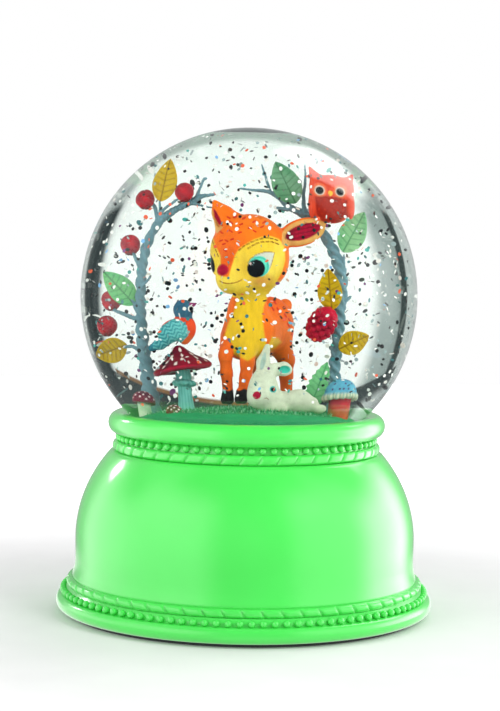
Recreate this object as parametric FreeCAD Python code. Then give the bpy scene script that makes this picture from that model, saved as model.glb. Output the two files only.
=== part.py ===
"""Woodland snow globe night light, in millimetres.

Origin: centre of the underside of the foot pad.  +Z is up, -Y is the front.
A water-filled glass ball on a hollow moulded base.  The figures stand on a grass mound that is
fixed to the rubber stopper in the ball's neck.  The base holds the lamp, switch and batteries.
"""
import FreeCAD, Part
import math
import os
import random

from FreeCAD import Vector

# ---- driving dimensions -------------------------------------------------------------------
GLOBE_RADIUS = 50.0
GLASS_WALL = 2.5
GLOBE_CENTRE_Z = 94.0
NECK_RADIUS = 34.8            # outside of the ball's neck, where it enters the collar
NECK_BOTTOM_Z = 49.5
BUBBLE_DEPTH = 1.5            # height of the air bubble left at the top of the ball

FLANGE_RADIUS = 56.15
FLANGE_ROOT_RADIUS = 54.6      # where the flange's rounded edge starts and ends
FLANGE_BOTTOM_Z = 1.2
FLANGE_TOP_Z = 5.7
FLANGE_MIDDLE_Z = 3.4
DOME_RADIUS = 50.6
DOME_CENTRE_Z = 22.1
DOME_HEIGHT = 43.1            # half height of the ellipse that the dome follows
DOME_TOP_Z = 48.0
DOME_FOOT_Z = 10.5
SHELL_WALL = 2.6
COVE_RADIUS = 53.5             # foot of the hollow that the lower beads sit in
RIM_RADIUS = 41.3
RIM_ROOT_RADIUS = 39.2         # where the rolled rim leaves the collar
RIM_CREST_RADIUS = 38.6        # highest line of the rolled rim
RIM_LIP_MIDDLE = (36.6, 59.2)  # radius and height halfway down the rim's inner lip
RIM_LIP_Z = 58.2
SEAT_TOP_Z = 56.8
COLLAR_RADIUS = 37.7
RIM_BOTTOM_Z = 53.1
RIM_TOP_Z = 59.4
SEAT_RADIUS = 35.6            # bore that the ball's neck stands in
RIM_LIP_RADIUS = 35.0
SHELF_Z = (45.0, 47.5)        # ring inside the base that carries the stopper
LIGHT_HOLE_RADIUS = 29.0

LOWER_BEADS = dict(count=105, ring=54.0, radius=1.02, z=6.7)
LOWER_ROPE = dict(ring=51.9, z=9.1, half_height=1.3, depth=1.15)
UPPER_ROPE = dict(ring=38.9, z=49.45, half_height=1.5, depth=1.0)
UPPER_BEADS = dict(count=76, ring=38.1, radius=1.08, z=52.05)

PAD_THICKNESS = 1.2
PAD_RADII = (48.3, 52.75)
PLATE_RADIUS = 51.8
PLATE_THICKNESS = 3.0
PLATE_CLEARANCE = 0.1
PLATE_SCREW_CIRCLE = 45.2
SCREW_SHANK_RADIUS = 1.5
SCREW_HEAD_RADIUS = 2.7
SCREW_HEAD_HEIGHT = 1.1
SCREW_HOLE_RADIUS = 1.58

BATTERY_RADIUS = 5.25         # AAA cell
BATTERY_BODY = 43.3
BATTERY_LENGTH = 44.5
BATTERY_PITCH = 11.0
BATTERY_COUNT = 3
SPRING_DEPTH = 4.5
CONTACT_THICKNESS = 0.4
BAY_SIZE = (33.4, BATTERY_LENGTH + SPRING_DEPTH + CONTACT_THICKNESS)
BAY_WALL = 1.5
BAY_TOP_Z = 14.4

DOOR_THICKNESS = 1.6
DOOR_Z = 1.4
DOOR_BORDER = (2.2, 9.0)      # how far the door reaches past the bay, in X and Y
DOOR_GAP = 0.3
DOOR_SCREW_Y = BAY_SIZE[1] / 2 + 5.2

SWITCH_X = 30.0
SWITCH_TRAVEL = 3.5
BOARD_Z = 24.0
BOARD_RADIUS = 13.0
BOARD_THICKNESS = 1.6
BOARD_POST_X = 9.5
LED_RADIUS = 2.5
LED_CIRCLE = 5.8
WIRE_RADIUS = 0.6
WIRE_BEND_RADIUS = 2.4
PILOT_RADIUS = 0.9             # hole for a small screw
SWITCH_SCREW_Y = 8.6
SWITCH_TOP_Z = 10.2

MOUND_RADIUS = 28.5
MOUND_EDGE_Z = 65.2
MOUND_TOP_Z = 69.0
MOUND_SIDE_Z = 60.8            # height where the mound's side turns straight down
STOPPER_TOP_Z = 58.5
GLUE_BOTTOM_Z = 50.5
LEAF_THICKNESS = 0.7
LIMB_TAPER_SHARE = 0.95       # a limb's taper against the balls at its points
FLAKE_COUNT = 140
FLAKE_RADIUS = 0.5
FLAKE_THICKNESS = 0.08

GLOBE_INNER_RADIUS = GLOBE_RADIUS - GLASS_WALL
NECK_INNER_RADIUS = NECK_RADIUS - 2.4
PLATE_TOP_Z = PAD_THICKNESS + PLATE_THICKNESS
UP = Vector(0, 0, 1)
FRONT = Vector(0, -1, 0)


# ---- shape helpers ------------------------------------------------------------------------
def fused(shapes):
    """One solid from overlapping shapes."""
    if len(shapes) == 1:
        return shapes[0]
    return shapes[0].fuse(shapes[1:]).removeSplitter()


def section(points):
    """Closed face in the XZ plane through (radius, height) points, with straight sides."""
    corners = [Vector(radius, 0, height) for radius, height in points]
    return Part.Face(Part.makePolygon(corners + corners[:1]))


def turned(points):
    """Solid of revolution about Z from (radius, height) points."""
    return section(points).revolve(Vector(0, 0, 0), UP, 360)


def ring(inner, outer, bottom, top):
    """Flat ring between two radii and two heights."""
    return Part.makeCylinder(outer, top - bottom, Vector(0, 0, bottom)).cut(
        Part.makeCylinder(inner, top - bottom, Vector(0, 0, bottom)))


def disc(radius, bottom, top, x=0.0, y=0.0):
    """Upright cylinder between two heights."""
    return Part.makeCylinder(radius, top - bottom, Vector(x, y, bottom))


def block(size_x, size_y, bottom, top, x=0.0, y=0.0):
    """Upright box centred on (x, y)."""
    corner = Vector(x - size_x / 2, y - size_y / 2, bottom)
    return Part.makeBox(size_x, size_y, top - bottom, corner)


def rounded_block(size_x, size_y, bottom, top, radius, x=0.0, y=0.0):
    """Upright box with rounded vertical edges."""
    box = block(size_x, size_y, bottom, top, x, y)
    upright = [edge for edge in box.Edges if abs(edge.tangentAt(edge.FirstParameter).z) > 0.9]
    return box.makeFillet(radius, upright)


def cone_between(start, end, start_radius, end_radius):
    """Cone or cylinder from one point to another."""
    along = end - start
    if abs(start_radius - end_radius) < 1e-6:
        return Part.makeCylinder(start_radius, along.Length, start, along)
    return Part.makeCone(start_radius, end_radius, along.Length, start, along)


def limb(points, radii):
    """Tapering limb through points, with a ball a little proud of the taper at each point."""
    nodes = [Vector(*point) for point in points]
    parts = []
    for index, (node, radius) in enumerate(zip(nodes, radii)):
        along = nodes[min(index + 1, len(nodes) - 1)] - nodes[max(index - 1, 0)]
        parts.append(Part.makeSphere(radius, node, along))
    thin = [radius * LIMB_TAPER_SHARE for radius in radii]
    for index in range(len(nodes) - 1):
        parts.append(cone_between(nodes[index], nodes[index + 1], thin[index], thin[index + 1]))
    return fused(parts)


def leaf(base, tip, width, facing=FRONT):
    """Pointed leaf blade of even thickness, bounded by two arcs."""
    base, tip = Vector(*base), Vector(*tip)
    along = tip - base
    side = along.cross(facing).normalize() * (width / 2)
    middle = (base + tip) * 0.5
    edges = [Part.Arc(base, middle + side, tip).toShape(), Part.Arc(tip, middle - side, base).toShape()]
    normal = side.cross(along).normalize() * LEAF_THICKNESS
    return Part.Face(Part.Wire(edges)).extrude(normal)


def bent_wire(points, bend_radius):
    """Round wire: straight runs joined by tangent arcs of one radius."""
    nodes = [Vector(*point) for point in points]
    edges = []
    start = nodes[0]
    for before, corner, after in zip(nodes, nodes[1:], nodes[2:]):
        back = (before - corner).normalize()
        ahead = (after - corner).normalize()
        half_angle = back.getAngle(ahead) / 2
        reach = bend_radius / math.tan(half_angle)
        middle_reach = bend_radius / math.sin(half_angle) - bend_radius
        arc_start = corner + back * reach
        arc_end = corner + ahead * reach
        arc_middle = corner + (back + ahead).normalize() * middle_reach
        edges.append(Part.LineSegment(start, arc_start).toShape())
        edges.append(Part.Arc(arc_start, arc_middle, arc_end).toShape())
        start = arc_end
    edges.append(Part.LineSegment(start, nodes[-1]).toShape())
    path = Part.Wire(edges)
    profile = Part.Wire(Part.makeCircle(WIRE_RADIUS, nodes[0], nodes[1] - nodes[0]))
    return path.makePipeShell([profile], True, False)


def cell_positions():
    """X of each battery, from left to right."""
    middle = (BATTERY_COUNT - 1) / 2
    return [(index - middle) * BATTERY_PITCH for index in range(BATTERY_COUNT)]


def screw(x, y, head_bottom, length):
    """Pan-head screw pointing up, with a cross recess in the head."""
    head_top = head_bottom + SCREW_HEAD_HEIGHT
    head = disc(SCREW_HEAD_RADIUS, head_bottom, head_top, x, y)
    head = head.makeFillet(0.45, [head.Edges[index] for index in range(len(head.Edges))
                                  if abs(head.Edges[index].CenterOfMass.z - head_bottom) < 0.01])
    shank = disc(SCREW_SHANK_RADIUS, head_top, head_top + length, x, y)
    tip = Part.makeCone(SCREW_SHANK_RADIUS, 0.5, 1.2, Vector(x, y, head_top + length))
    recess = block(3.0, 0.7, head_bottom, head_bottom + 0.7, x, y)
    cross = recess.fuse(block(0.7, 3.0, head_bottom, head_bottom + 0.7, x, y))
    return fused([head, shank, tip]).cut(cross)


# ---- glass ball, water and stopper --------------------------------------------------------
def ball_height(radius, ball_radius):
    """Height of the lower half of a ball of the globe's centre, at a distance from the axis."""
    return GLOBE_CENTRE_Z - math.sqrt(ball_radius ** 2 - radius ** 2)


def ball_arc(ball_radius, start_radius, end_radius):
    """Arc of the globe's section from the lower half at start_radius up to end_radius."""
    start = Vector(start_radius, 0, ball_height(start_radius, ball_radius))
    side = Vector(ball_radius, 0, GLOBE_CENTRE_Z)
    rise = math.sqrt(ball_radius ** 2 - end_radius ** 2)
    end = Vector(end_radius, 0, GLOBE_CENTRE_Z + rise)
    return Part.Arc(start, side, end).toShape(), start, end


def face_from(edges, corners):
    """Face from an arc whose ends are joined by straight lines through the corners."""
    lines = [Part.LineSegment(first, second).toShape() for first, second in zip(corners, corners[1:])]
    return Part.Face(Part.Wire(Part.sortEdges(edges + lines)[0]))


def glass_globe():
    """Thick glass ball with a straight open neck below."""
    outer, outer_low, outer_top = ball_arc(GLOBE_RADIUS, NECK_RADIUS, 0.0)
    inner, inner_low, inner_top = ball_arc(GLOBE_INNER_RADIUS, NECK_INNER_RADIUS, 0.0)
    neck = [outer_low, Vector(NECK_RADIUS, 0, NECK_BOTTOM_Z),
            Vector(NECK_INNER_RADIUS, 0, NECK_BOTTOM_Z), inner_low]
    lines = [Part.LineSegment(first, second).toShape() for first, second in zip(neck, neck[1:])]
    lines.append(Part.LineSegment(inner_top, outer_top).toShape())
    wire = Part.Wire(Part.sortEdges([outer, inner] + lines)[0])
    return Part.Face(wire).revolve(Vector(0, 0, 0), UP, 360)


def liquid_fill(mound):
    """Water that fills the ball above the stopper, up to the air bubble, around the mound."""
    level = GLOBE_INNER_RADIUS - BUBBLE_DEPTH
    bubble_radius = math.sqrt(GLOBE_INNER_RADIUS ** 2 - level ** 2)
    arc, low, top = ball_arc(GLOBE_INNER_RADIUS, NECK_INNER_RADIUS, bubble_radius)
    corners = [top, Vector(0, 0, top.z), Vector(0, 0, STOPPER_TOP_Z),
               Vector(NECK_INNER_RADIUS, 0, STOPPER_TOP_Z), low]
    body = face_from([arc], corners).revolve(Vector(0, 0, 0), UP, 360)
    return body.cut(mound)


def stopper():
    """Clear rubber plug in the neck, with a flange that seals under its end."""
    return turned([(0, SHELF_Z[1]), (NECK_RADIUS, SHELF_Z[1]), (NECK_RADIUS, NECK_BOTTOM_Z),
                   (NECK_INNER_RADIUS, NECK_BOTTOM_Z), (NECK_INNER_RADIUS, STOPPER_TOP_Z),
                   (0, STOPPER_TOP_Z)])


def glue_ring():
    """Ring of clear sealant between the neck and the seat in the base."""
    return ring(NECK_RADIUS, SEAT_RADIUS, GLUE_BOTTOM_Z, SEAT_TOP_Z)


# ---- moulded base -------------------------------------------------------------------------
def bead_row(count, ring, radius, z):
    """Evenly spaced half-sunk beads around the base."""
    steps = [2 * math.pi * index / count for index in range(count)]
    return [Part.makeSphere(radius, Vector(ring * math.cos(step), ring * math.sin(step), z))
            for step in steps]


def rope_band(ring, z, half_height, depth):
    """Section points of the half-round band under a rope moulding, from bottom to top."""
    turns = [math.radians(angle) for angle in (-90, -60, -30, 0, 30, 60, 90)]
    return [(ring + depth * math.cos(turn), z + half_height * math.sin(turn)) for turn in turns]


def dome_radius(height, inset=0.0):
    """Radius of the dome's ellipse at a height, moved inwards by the wall where asked."""
    if height <= DOME_CENTRE_Z:
        return DOME_RADIUS - inset
    share = (height - DOME_CENTRE_Z) / (DOME_HEIGHT - inset)
    return (DOME_RADIUS - inset) * math.sqrt(1 - share ** 2)


def dome_edge(top_z, inset=0.0):
    """Elliptical edge of the dome's section, from its widest point up to a height."""
    middle_z = (DOME_CENTRE_Z + top_z) / 2 + 4.0
    heights = [DOME_CENTRE_Z, DOME_CENTRE_Z + 6.0, DOME_CENTRE_Z + 13.0, middle_z, top_z]
    points = [Vector(dome_radius(height, inset), 0, height) for height in sorted(set(heights))]
    curve = Part.BSplineCurve()
    curve.interpolate(points)
    return curve.toShape(), points[0], points[-1]


def base_shell():
    """Green bell-shaped shell with a rolled rim, a bead row and a rope row above and below."""
    inner_top_z = SHELF_Z[0]
    outer_edge, outer_low, outer_high = dome_edge(DOME_TOP_Z)
    inner_edge, inner_low, inner_high = dome_edge(inner_top_z, SHELL_WALL)
    ledge_radius = PLATE_RADIUS + PLATE_CLEARANCE
    rim_middle = (RIM_BOTTOM_Z + RIM_TOP_Z) / 2
    flange_arc = Part.Arc(Vector(FLANGE_ROOT_RADIUS, 0, FLANGE_BOTTOM_Z), Vector(FLANGE_RADIUS, 0, FLANGE_MIDDLE_Z),
                          Vector(FLANGE_ROOT_RADIUS, 0, FLANGE_TOP_Z)).toShape()
    rim_arc = Part.Arc(Vector(RIM_ROOT_RADIUS, 0, RIM_BOTTOM_Z), Vector(RIM_RADIUS, 0, rim_middle),
                       Vector(RIM_CREST_RADIUS, 0, RIM_TOP_Z)).toShape()
    lip_arc = Part.Arc(Vector(RIM_CREST_RADIUS, 0, RIM_TOP_Z), Vector(RIM_LIP_MIDDLE[0], 0, RIM_LIP_MIDDLE[1]),
                       Vector(RIM_LIP_RADIUS, 0, RIM_LIP_Z)).toShape()
    between = [
        [(FLANGE_ROOT_RADIUS, FLANGE_TOP_Z), (COVE_RADIUS, FLANGE_TOP_Z), (53.1, 7.8)] + rope_band(**LOWER_ROPE)
        + [(51.5, DOME_FOOT_Z), (DOME_RADIUS, 15.0), (outer_low.x, outer_low.z)],
        [(outer_high.x, outer_high.z)] + rope_band(**UPPER_ROPE)
        + [(COLLAR_RADIUS, 51.0), (COLLAR_RADIUS, RIM_BOTTOM_Z), (RIM_ROOT_RADIUS, RIM_BOTTOM_Z)],
        [(RIM_LIP_RADIUS, RIM_LIP_Z), (RIM_LIP_RADIUS, SEAT_TOP_Z), (SEAT_RADIUS, SEAT_TOP_Z), (SEAT_RADIUS, SHELF_Z[1]),
         (LIGHT_HOLE_RADIUS, SHELF_Z[1]), (LIGHT_HOLE_RADIUS, SHELF_Z[0]), (inner_high.x, inner_high.z)],
        [(inner_low.x, inner_low.z), (DOME_RADIUS - SHELL_WALL, 8.0), (49.5, PLATE_TOP_Z),
         (ledge_radius, PLATE_TOP_Z), (ledge_radius, FLANGE_BOTTOM_Z), (FLANGE_ROOT_RADIUS, FLANGE_BOTTOM_Z)],
    ]
    edges = [outer_edge, inner_edge, flange_arc, rim_arc, lip_arc]
    for run in between:
        corners = [Vector(radius, 0, height) for radius, height in run]
        edges += [Part.LineSegment(first, second).toShape() for first, second in zip(corners, corners[1:])
                  if (second - first).Length > 1e-6]
    wire = Part.Wire(Part.sortEdges(edges)[0])
    shell = Part.Face(wire).revolve(Vector(0, 0, 0), UP, 360)
    shell = shell.fuse(bead_row(**LOWER_BEADS) + bead_row(**UPPER_BEADS))
    bosses = [disc(3.4, PLATE_TOP_Z, 15.0, x, y) for x, y in plate_screw_places()]
    holes = [disc(SCREW_SHANK_RADIUS, PLATE_TOP_Z, 14.0, x, y) for x, y in plate_screw_places()]
    outside = disc(FLANGE_RADIUS, 0, 60.0).cut(disc(DOME_RADIUS - 1.0, 0, 60.0))
    bosses = [boss.cut(outside) for boss in bosses]
    return shell.fuse(bosses).cut(holes)


def plate_screw_places():
    """Centres of the four screws that hold the bottom plate."""
    steps = [math.radians(45 + 90 * index) for index in range(4)]
    return [(PLATE_SCREW_CIRCLE * math.cos(step), PLATE_SCREW_CIRCLE * math.sin(step)) for step in steps]


def foot_pad():
    """Soft ring that the globe rests on, with rounded outer edge."""
    pad = ring(PAD_RADII[0], PAD_RADII[1], 0.0, PAD_THICKNESS)
    edge = [item for item in pad.Edges if abs(item.CenterOfMass.z) < 1e-6
            and abs(item.BoundBox.XMax - PAD_RADII[1]) < 1e-3]
    return pad.makeFillet(0.3, edge)


def bottom_plate():
    """Round plate with the battery bay, door recess, switch slot and board posts."""
    plate = disc(PLATE_RADIUS, PAD_THICKNESS, PLATE_TOP_Z)
    bay_outer = (BAY_SIZE[0] + 2 * BAY_WALL, BAY_SIZE[1] + 2 * BAY_WALL)
    bay = rounded_block(bay_outer[0], bay_outer[1], PLATE_TOP_Z - 0.5, BAY_TOP_Z + BAY_WALL, 2.0)
    door_bosses = [disc(3.2, PLATE_TOP_Z - 0.5, 12.0, 0, side * DOOR_SCREW_Y) for side in (-1, 1)]
    posts = [disc(2.6, BAY_TOP_Z, BOARD_Z, side * BOARD_POST_X, 0) for side in (-1, 1)]
    body = fused([plate, bay] + door_bosses + posts)
    door_top = DOOR_Z + DOOR_THICKNESS
    cuts = [block(BAY_SIZE[0], BAY_SIZE[1], 0.0, BAY_TOP_Z),
            rounded_block(BAY_SIZE[0] + 2 * DOOR_BORDER[0] + 2 * DOOR_GAP,
                          BAY_SIZE[1] + 2 * DOOR_BORDER[1] + 2 * DOOR_GAP, 0.0, door_top, 3.3)]
    cuts += [disc(SCREW_HOLE_RADIUS, 0.0, 11.0, 0, side * DOOR_SCREW_Y) for side in (-1, 1)]
    cuts += [disc(PILOT_RADIUS, BOARD_Z - 5.0, BOARD_Z, side * BOARD_POST_X, 0) for side in (-1, 1)]
    for x, y in plate_screw_places():
        cuts.append(disc(3.0, 0.0, 2.6, x, y))
        cuts.append(disc(SCREW_HOLE_RADIUS, 0.0, PLATE_TOP_Z, x, y))
    cuts.append(rounded_block(9.0, 15.0, 0.0, 2.4, 2.0, SWITCH_X, 0.0))
    cuts.append(block(3.4, 4.6 + SWITCH_TRAVEL, 0.0, PLATE_TOP_Z, SWITCH_X, 0.0))
    cuts += [disc(PILOT_RADIUS, 2.6, PLATE_TOP_Z, SWITCH_X, side * SWITCH_SCREW_Y) for side in (-1, 1)]
    return body.cut(cuts)


def battery_door():
    """Lift-off door over the battery bay, held by two captive screws."""
    size_x = BAY_SIZE[0] + 2 * DOOR_BORDER[0]
    size_y = BAY_SIZE[1] + 2 * DOOR_BORDER[1]
    door = rounded_block(size_x, size_y, DOOR_Z, DOOR_Z + DOOR_THICKNESS, 3.0)
    holes = [disc(SCREW_HOLE_RADIUS, DOOR_Z, 4.0, 0, side * DOOR_SCREW_Y) for side in (-1, 1)]
    grips = [block(12.0, 0.8, DOOR_Z, DOOR_Z + 0.5, 0, step * 2.4) for step in range(-3, 4)]
    return door.cut(holes + grips)


def door_screw(side):
    """Captive screw of the battery door."""
    return screw(0, side * DOOR_SCREW_Y, DOOR_Z - SCREW_HEAD_HEIGHT, 7.5)


def plate_screws():
    """Four screws from the bottom plate into the base shell."""
    return [screw(x, y, 2.6 - SCREW_HEAD_HEIGHT, 9.0) for x, y in plate_screw_places()]


# ---- batteries, contacts, switch and lamp ---------------------------------------------------
def terminal_side(index):
    """+1 where a battery's button points to the back of the bay, -1 where it points to the front."""
    return 1 if index % 2 else -1


def battery(index):
    """AAA cell with its button against the flat contact."""
    x = cell_positions()[index]
    side = terminal_side(index)
    height = PLATE_TOP_Z - 0.6 + BATTERY_RADIUS
    button_y = side * (BAY_SIZE[1] / 2 - CONTACT_THICKNESS)
    shoulder = button_y - side * (BATTERY_LENGTH - BATTERY_BODY)
    back = Vector(0, -side, 0)
    can = Part.makeCylinder(BATTERY_RADIUS, BATTERY_BODY, Vector(x, shoulder, height), back)
    can = can.makeFillet(0.6, [edge for edge in can.Edges if edge.Closed])
    button = Part.makeCylinder(1.9, BATTERY_LENGTH - BATTERY_BODY + 0.2,
                               Vector(x, button_y, height), back)
    return can.fuse(button)


def contact_plates():
    """Flat contacts under the battery buttons."""
    plates = []
    for index, x in enumerate(cell_positions()):
        y = terminal_side(index) * (BAY_SIZE[1] / 2 - CONTACT_THICKNESS / 2)
        plates.append(block(8.0, CONTACT_THICKNESS, 5.5, 13.0, x, y))
    return plates


def contact_springs():
    """Bent spring strips that press on the flat ends of the batteries."""
    strips = []
    depth = SPRING_DEPTH
    thick = CONTACT_THICKNESS
    for index, x in enumerate(cell_positions()):
        side = -terminal_side(index)
        wall = side * BAY_SIZE[1] / 2
        outline = [(0, 13.0), (0, 5.2), (thick, 5.2), (depth, 8.2), (depth, 9.4), (2 * thick, 12.0),
                   (2 * thick, 11.4), (depth - thick, 9.1), (depth - thick, 8.5), (thick, 6.0),
                   (thick, 13.0)]
        corners = [Vector(x - 3.0, wall - side * reach, height) for reach, height in outline]
        face = Part.Face(Part.makePolygon(corners + corners[:1]))
        strips.append(face.extrude(Vector(6.0, 0, 0)))
    return strips


def switch_body():
    """Slide switch housing with two screw ears, open below for the knob."""
    housing = block(7.0, 12.0, PLATE_TOP_Z, SWITCH_TOP_Z, SWITCH_X)
    ears = [block(5.0, 5.0, PLATE_TOP_Z, 5.4, SWITCH_X, side * 8.4) for side in (-1, 1)]
    body = fused([housing] + ears)
    cavity = block(5.2, 4.6 + SWITCH_TRAVEL + 0.6, PLATE_TOP_Z, 7.4, SWITCH_X)
    holes = [disc(PILOT_RADIUS, PLATE_TOP_Z, 5.4, SWITCH_X, side * SWITCH_SCREW_Y) for side in (-1, 1)]
    return body.cut([cavity] + holes)


def switch_knob():
    """Ribbed slider, resting at the off end of its travel."""
    y = -SWITCH_TRAVEL / 2
    foot = block(4.6, 4.4, 4.6, 7.0, SWITCH_X, y)
    stem = block(3.0, 4.0, 0.9, 4.8, SWITCH_X, y)
    grooves = [block(3.0, 0.4, 0.9, 1.4, SWITCH_X, y + step * 1.1) for step in (-1, 0, 1)]
    return fused([foot, stem]).cut(grooves)


def switch_screws():
    """Two small screws through the switch ears."""
    screws = []
    for side in (-1, 1):
        y = side * SWITCH_SCREW_Y
        screws.append(fused([disc(1.6, 5.4, 6.3, SWITCH_X, y), disc(PILOT_RADIUS, 2.8, 5.4, SWITCH_X, y)]))
    return screws


def led_board():
    """Round circuit board on the two posts of the bottom plate."""
    board = disc(BOARD_RADIUS, BOARD_Z, BOARD_Z + BOARD_THICKNESS)
    holes = [disc(PILOT_RADIUS, BOARD_Z, BOARD_Z + BOARD_THICKNESS, side * BOARD_POST_X, 0)
             for side in (-1, 1)]
    chip = block(4.0, 4.0, BOARD_Z + BOARD_THICKNESS, BOARD_Z + BOARD_THICKNESS + 1.1)
    return fused([board, chip]).cut(holes)


def leds():
    """Three upright lamps in a ring around the chip."""
    lamps = []
    for index in range(3):
        turn = math.radians(90 + 120 * index)
        x, y = LED_CIRCLE * math.cos(turn), LED_CIRCLE * math.sin(turn)
        bottom = BOARD_Z + BOARD_THICKNESS
        base = disc(LED_RADIUS + 0.4, bottom, bottom + 1.0, x, y)
        tip = Part.makeSphere(LED_RADIUS, Vector(x, y, bottom + 5.6))
        lamps.append(fused([base, disc(LED_RADIUS, bottom, bottom + 5.6, x, y), tip]))
    return lamps


def board_screws():
    """Two screws that hold the circuit board to its posts."""
    top = BOARD_Z + BOARD_THICKNESS
    return [fused([disc(1.7, top, top + 1.0, side * BOARD_POST_X, 0),
                   disc(PILOT_RADIUS, BOARD_Z - 4.5, top, side * BOARD_POST_X, 0)]) for side in (-1, 1)]


def reflector_cup():
    """White cone that sends the light up through the stopper, glued under the shelf."""
    low, high = BOARD_Z + BOARD_THICKNESS + 1.6, SHELF_Z[0]
    return turned([(13.6, low), (14.6, low), (28.0, high - 1.2), (31.0, high - 1.2), (31.0, high),
                   (27.4, high)])


def wires():
    """Three insulated leads between the bay, the switch and the circuit board."""
    under_board = BOARD_Z - 0.6
    return {
        "wire_red": bent_wire([(18.9, 12.0, 12.0), (25.0, 12.0, 12.0), (31.0, 7.0, 17.0),
                               (30.0, 0.0, 17.0), (30.0, 0.0, SWITCH_TOP_Z)], WIRE_BEND_RADIUS),
        "wire_black": bent_wire([(-18.9, 12.0, 12.0), (-26.0, 12.0, 12.0), (-24.0, 6.0, 19.5),
                                 (-8.0, 7.0, 19.5), (-6.0, 7.0, under_board)], WIRE_BEND_RADIUS),
        "wire_white": bent_wire([(30.0, -4.0, SWITCH_TOP_Z), (30.0, -4.0, 18.5), (18.0, -6.0, 19.5),
                                 (7.0, -7.0, 19.5), (6.0, -7.0, under_board)], WIRE_BEND_RADIUS),
    }


# ---- woodland scene in the water ------------------------------------------------------------
def grass_mound():
    """Domed grass mound with a steep smooth side."""
    top = Vector(0, 0, MOUND_TOP_Z)
    edge = Vector(24.5, 0, MOUND_EDGE_Z)
    side = Vector(MOUND_RADIUS, 0, MOUND_SIDE_Z)
    crown = Part.Arc(top, Vector(12.5, 0, 68.05), edge).toShape()
    shoulder = Part.Arc(edge, Vector(27.4, 0, 63.4), side).toShape()
    corners = [side, Vector(MOUND_RADIUS, 0, STOPPER_TOP_Z), Vector(0, 0, STOPPER_TOP_Z), top]
    lines = [Part.LineSegment(first, second).toShape() for first, second in zip(corners, corners[1:])]
    wire = Part.Wire(Part.sortEdges([crown, shoulder] + lines)[0])
    return Part.Face(wire).revolve(Vector(0, 0, 0), UP, 360)


def fawn():
    """Standing fawn with a large head turned to the front left."""
    parts = [
        Part.makeSphere(9.1, Vector(0.2, -3.0, 103.8)),
        Part.makeSphere(4.6, Vector(-4.2, -9.5, 99.6)),
        limb([(0.8, -2.5, 96.5), (-1.2, -1.5, 85.5)], [4.2, 5.6]),
        limb([(1.6, -0.8, 86.0), (5.2, 9.0, 86.6)], [6.5, 6.8]),
        limb([(-4.2, -4.5, 84.0), (-4.6, -5.6, 77.0), (-4.3, -6.2, 70.6)], [3.0, 1.9, 1.8]),
        limb([(0.2, -5.6, 82.5), (-0.6, -6.8, 76.0), (-0.6, -8.0, 70.2)], [3.0, 1.9, 1.8]),
        limb([(8.0, 9.0, 84.5), (9.0, 9.5, 77.0), (8.8, 8.4, 70.6)], [3.6, 2.0, 1.8]),
        limb([(3.4, 11.5, 84.5), (3.2, 12.6, 77.0), (3.4, 11.6, 70.2)], [3.4, 2.0, 1.8]),
        limb([(-6.6, -0.8, 110.0), (-8.4, -0.2, 115.0)], [2.6, 0.6]),
        limb([(8.4, -0.6, 107.8), (12.4, -0.4, 109.0), (16.4, -0.2, 110.8)], [1.6, 2.2, 0.7]),
        limb([(7.6, 13.0, 90.5), (9.0, 15.0, 91.5)], [1.6, 0.9]),
    ]
    return fused(parts)


def rabbit():
    """Small rabbit lying on the front of the mound, one ear up and one hanging."""
    parts = [
        limb([(4.6, -17.0, 71.2), (8.4, -15.3, 69.6), (13.8, -14.5, 69.4), (17.2, -13.4, 69.0)],
             [3.3, 3.1, 3.0, 1.5]),
        limb([(4.3, -15.6, 73.2), (4.6, -14.4, 82.4)], [1.5, 0.9]),
        limb([(6.0, -15.8, 73.2), (9.6, -16.2, 76.6), (10.4, -16.7, 75.2)], [1.0, 1.2, 0.9]),
    ]
    return fused(parts)


def bird():
    """Small bird that sits on the toadstool."""
    parts = [
        Part.makeSphere(2.9, Vector(-14.9, -6.6, 90.6)),
        limb([(-15.3, -6.1, 85.7), (-15.1, -6.3, 87.2)], [2.7, 2.8]),
        limb([(-16.0, -5.6, 86.6), (-21.6, -4.0, 82.2)], [2.2, 0.9]),
        limb([(-13.2, -8.4, 91.4), (-12.4, -9.6, 92.2)], [0.8, 0.3]),
    ]
    return fused(parts)


def toadstool_cap():
    """Flared cap, tilted down to the left."""
    outline = [(0, 5.4), (1.6, 5.0), (3.4, 3.2), (5.4, 1.6), (6.9, 0.4), (6.8, -0.3), (4.0, 0.0),
               (2.2, 0.2), (0, 0.2)]
    cap = turned(outline)
    cap.Placement = FreeCAD.Placement(Vector(-15.2, -6.0, 77.6), FreeCAD.Rotation(FRONT, 11.0))
    return cap


def toadstool_stem():
    """Stem with a flared collar."""
    stem = cone_between(Vector(-13.6, -6.0, 66.6), Vector(-14.9, -6.0, 77.5), 1.9, 1.5)
    collar = cone_between(Vector(-14.35, -6.0, 73.2), Vector(-14.6, -6.0, 74.8), 2.7, 1.5)
    return fused([stem, collar])


def blue_mushroom_cap():
    """Round cap with a scalloped rim below."""
    dome = Part.makeSphere(4.0, Vector(0, 0, 0), UP, 0, 90, 360)
    brim = disc(3.9, -1.1, 0.0)
    cap = fused([dome, brim])
    cap.Placement = FreeCAD.Placement(Vector(22.6, -9.0, 71.6), FreeCAD.Rotation())
    return cap


def blue_mushroom_stem():
    """Thick round stem."""
    return disc(2.8, 65.0, 70.5, 22.4, -9.0)


def small_toadstool_caps():
    """Two little caps at the left edge of the mound."""
    caps = []
    for x, y, z, radius in ((-24.4, -4.0, 68.9, 3.2), (-18.4, -14.0, 65.3, 2.9)):
        cap = Part.makeSphere(radius, Vector(0, 0, 0), UP, 0, 90, 360)
        cap.Placement = FreeCAD.Placement(Vector(x, y, z), FreeCAD.Rotation())
        caps.append(cap)
    return caps


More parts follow.
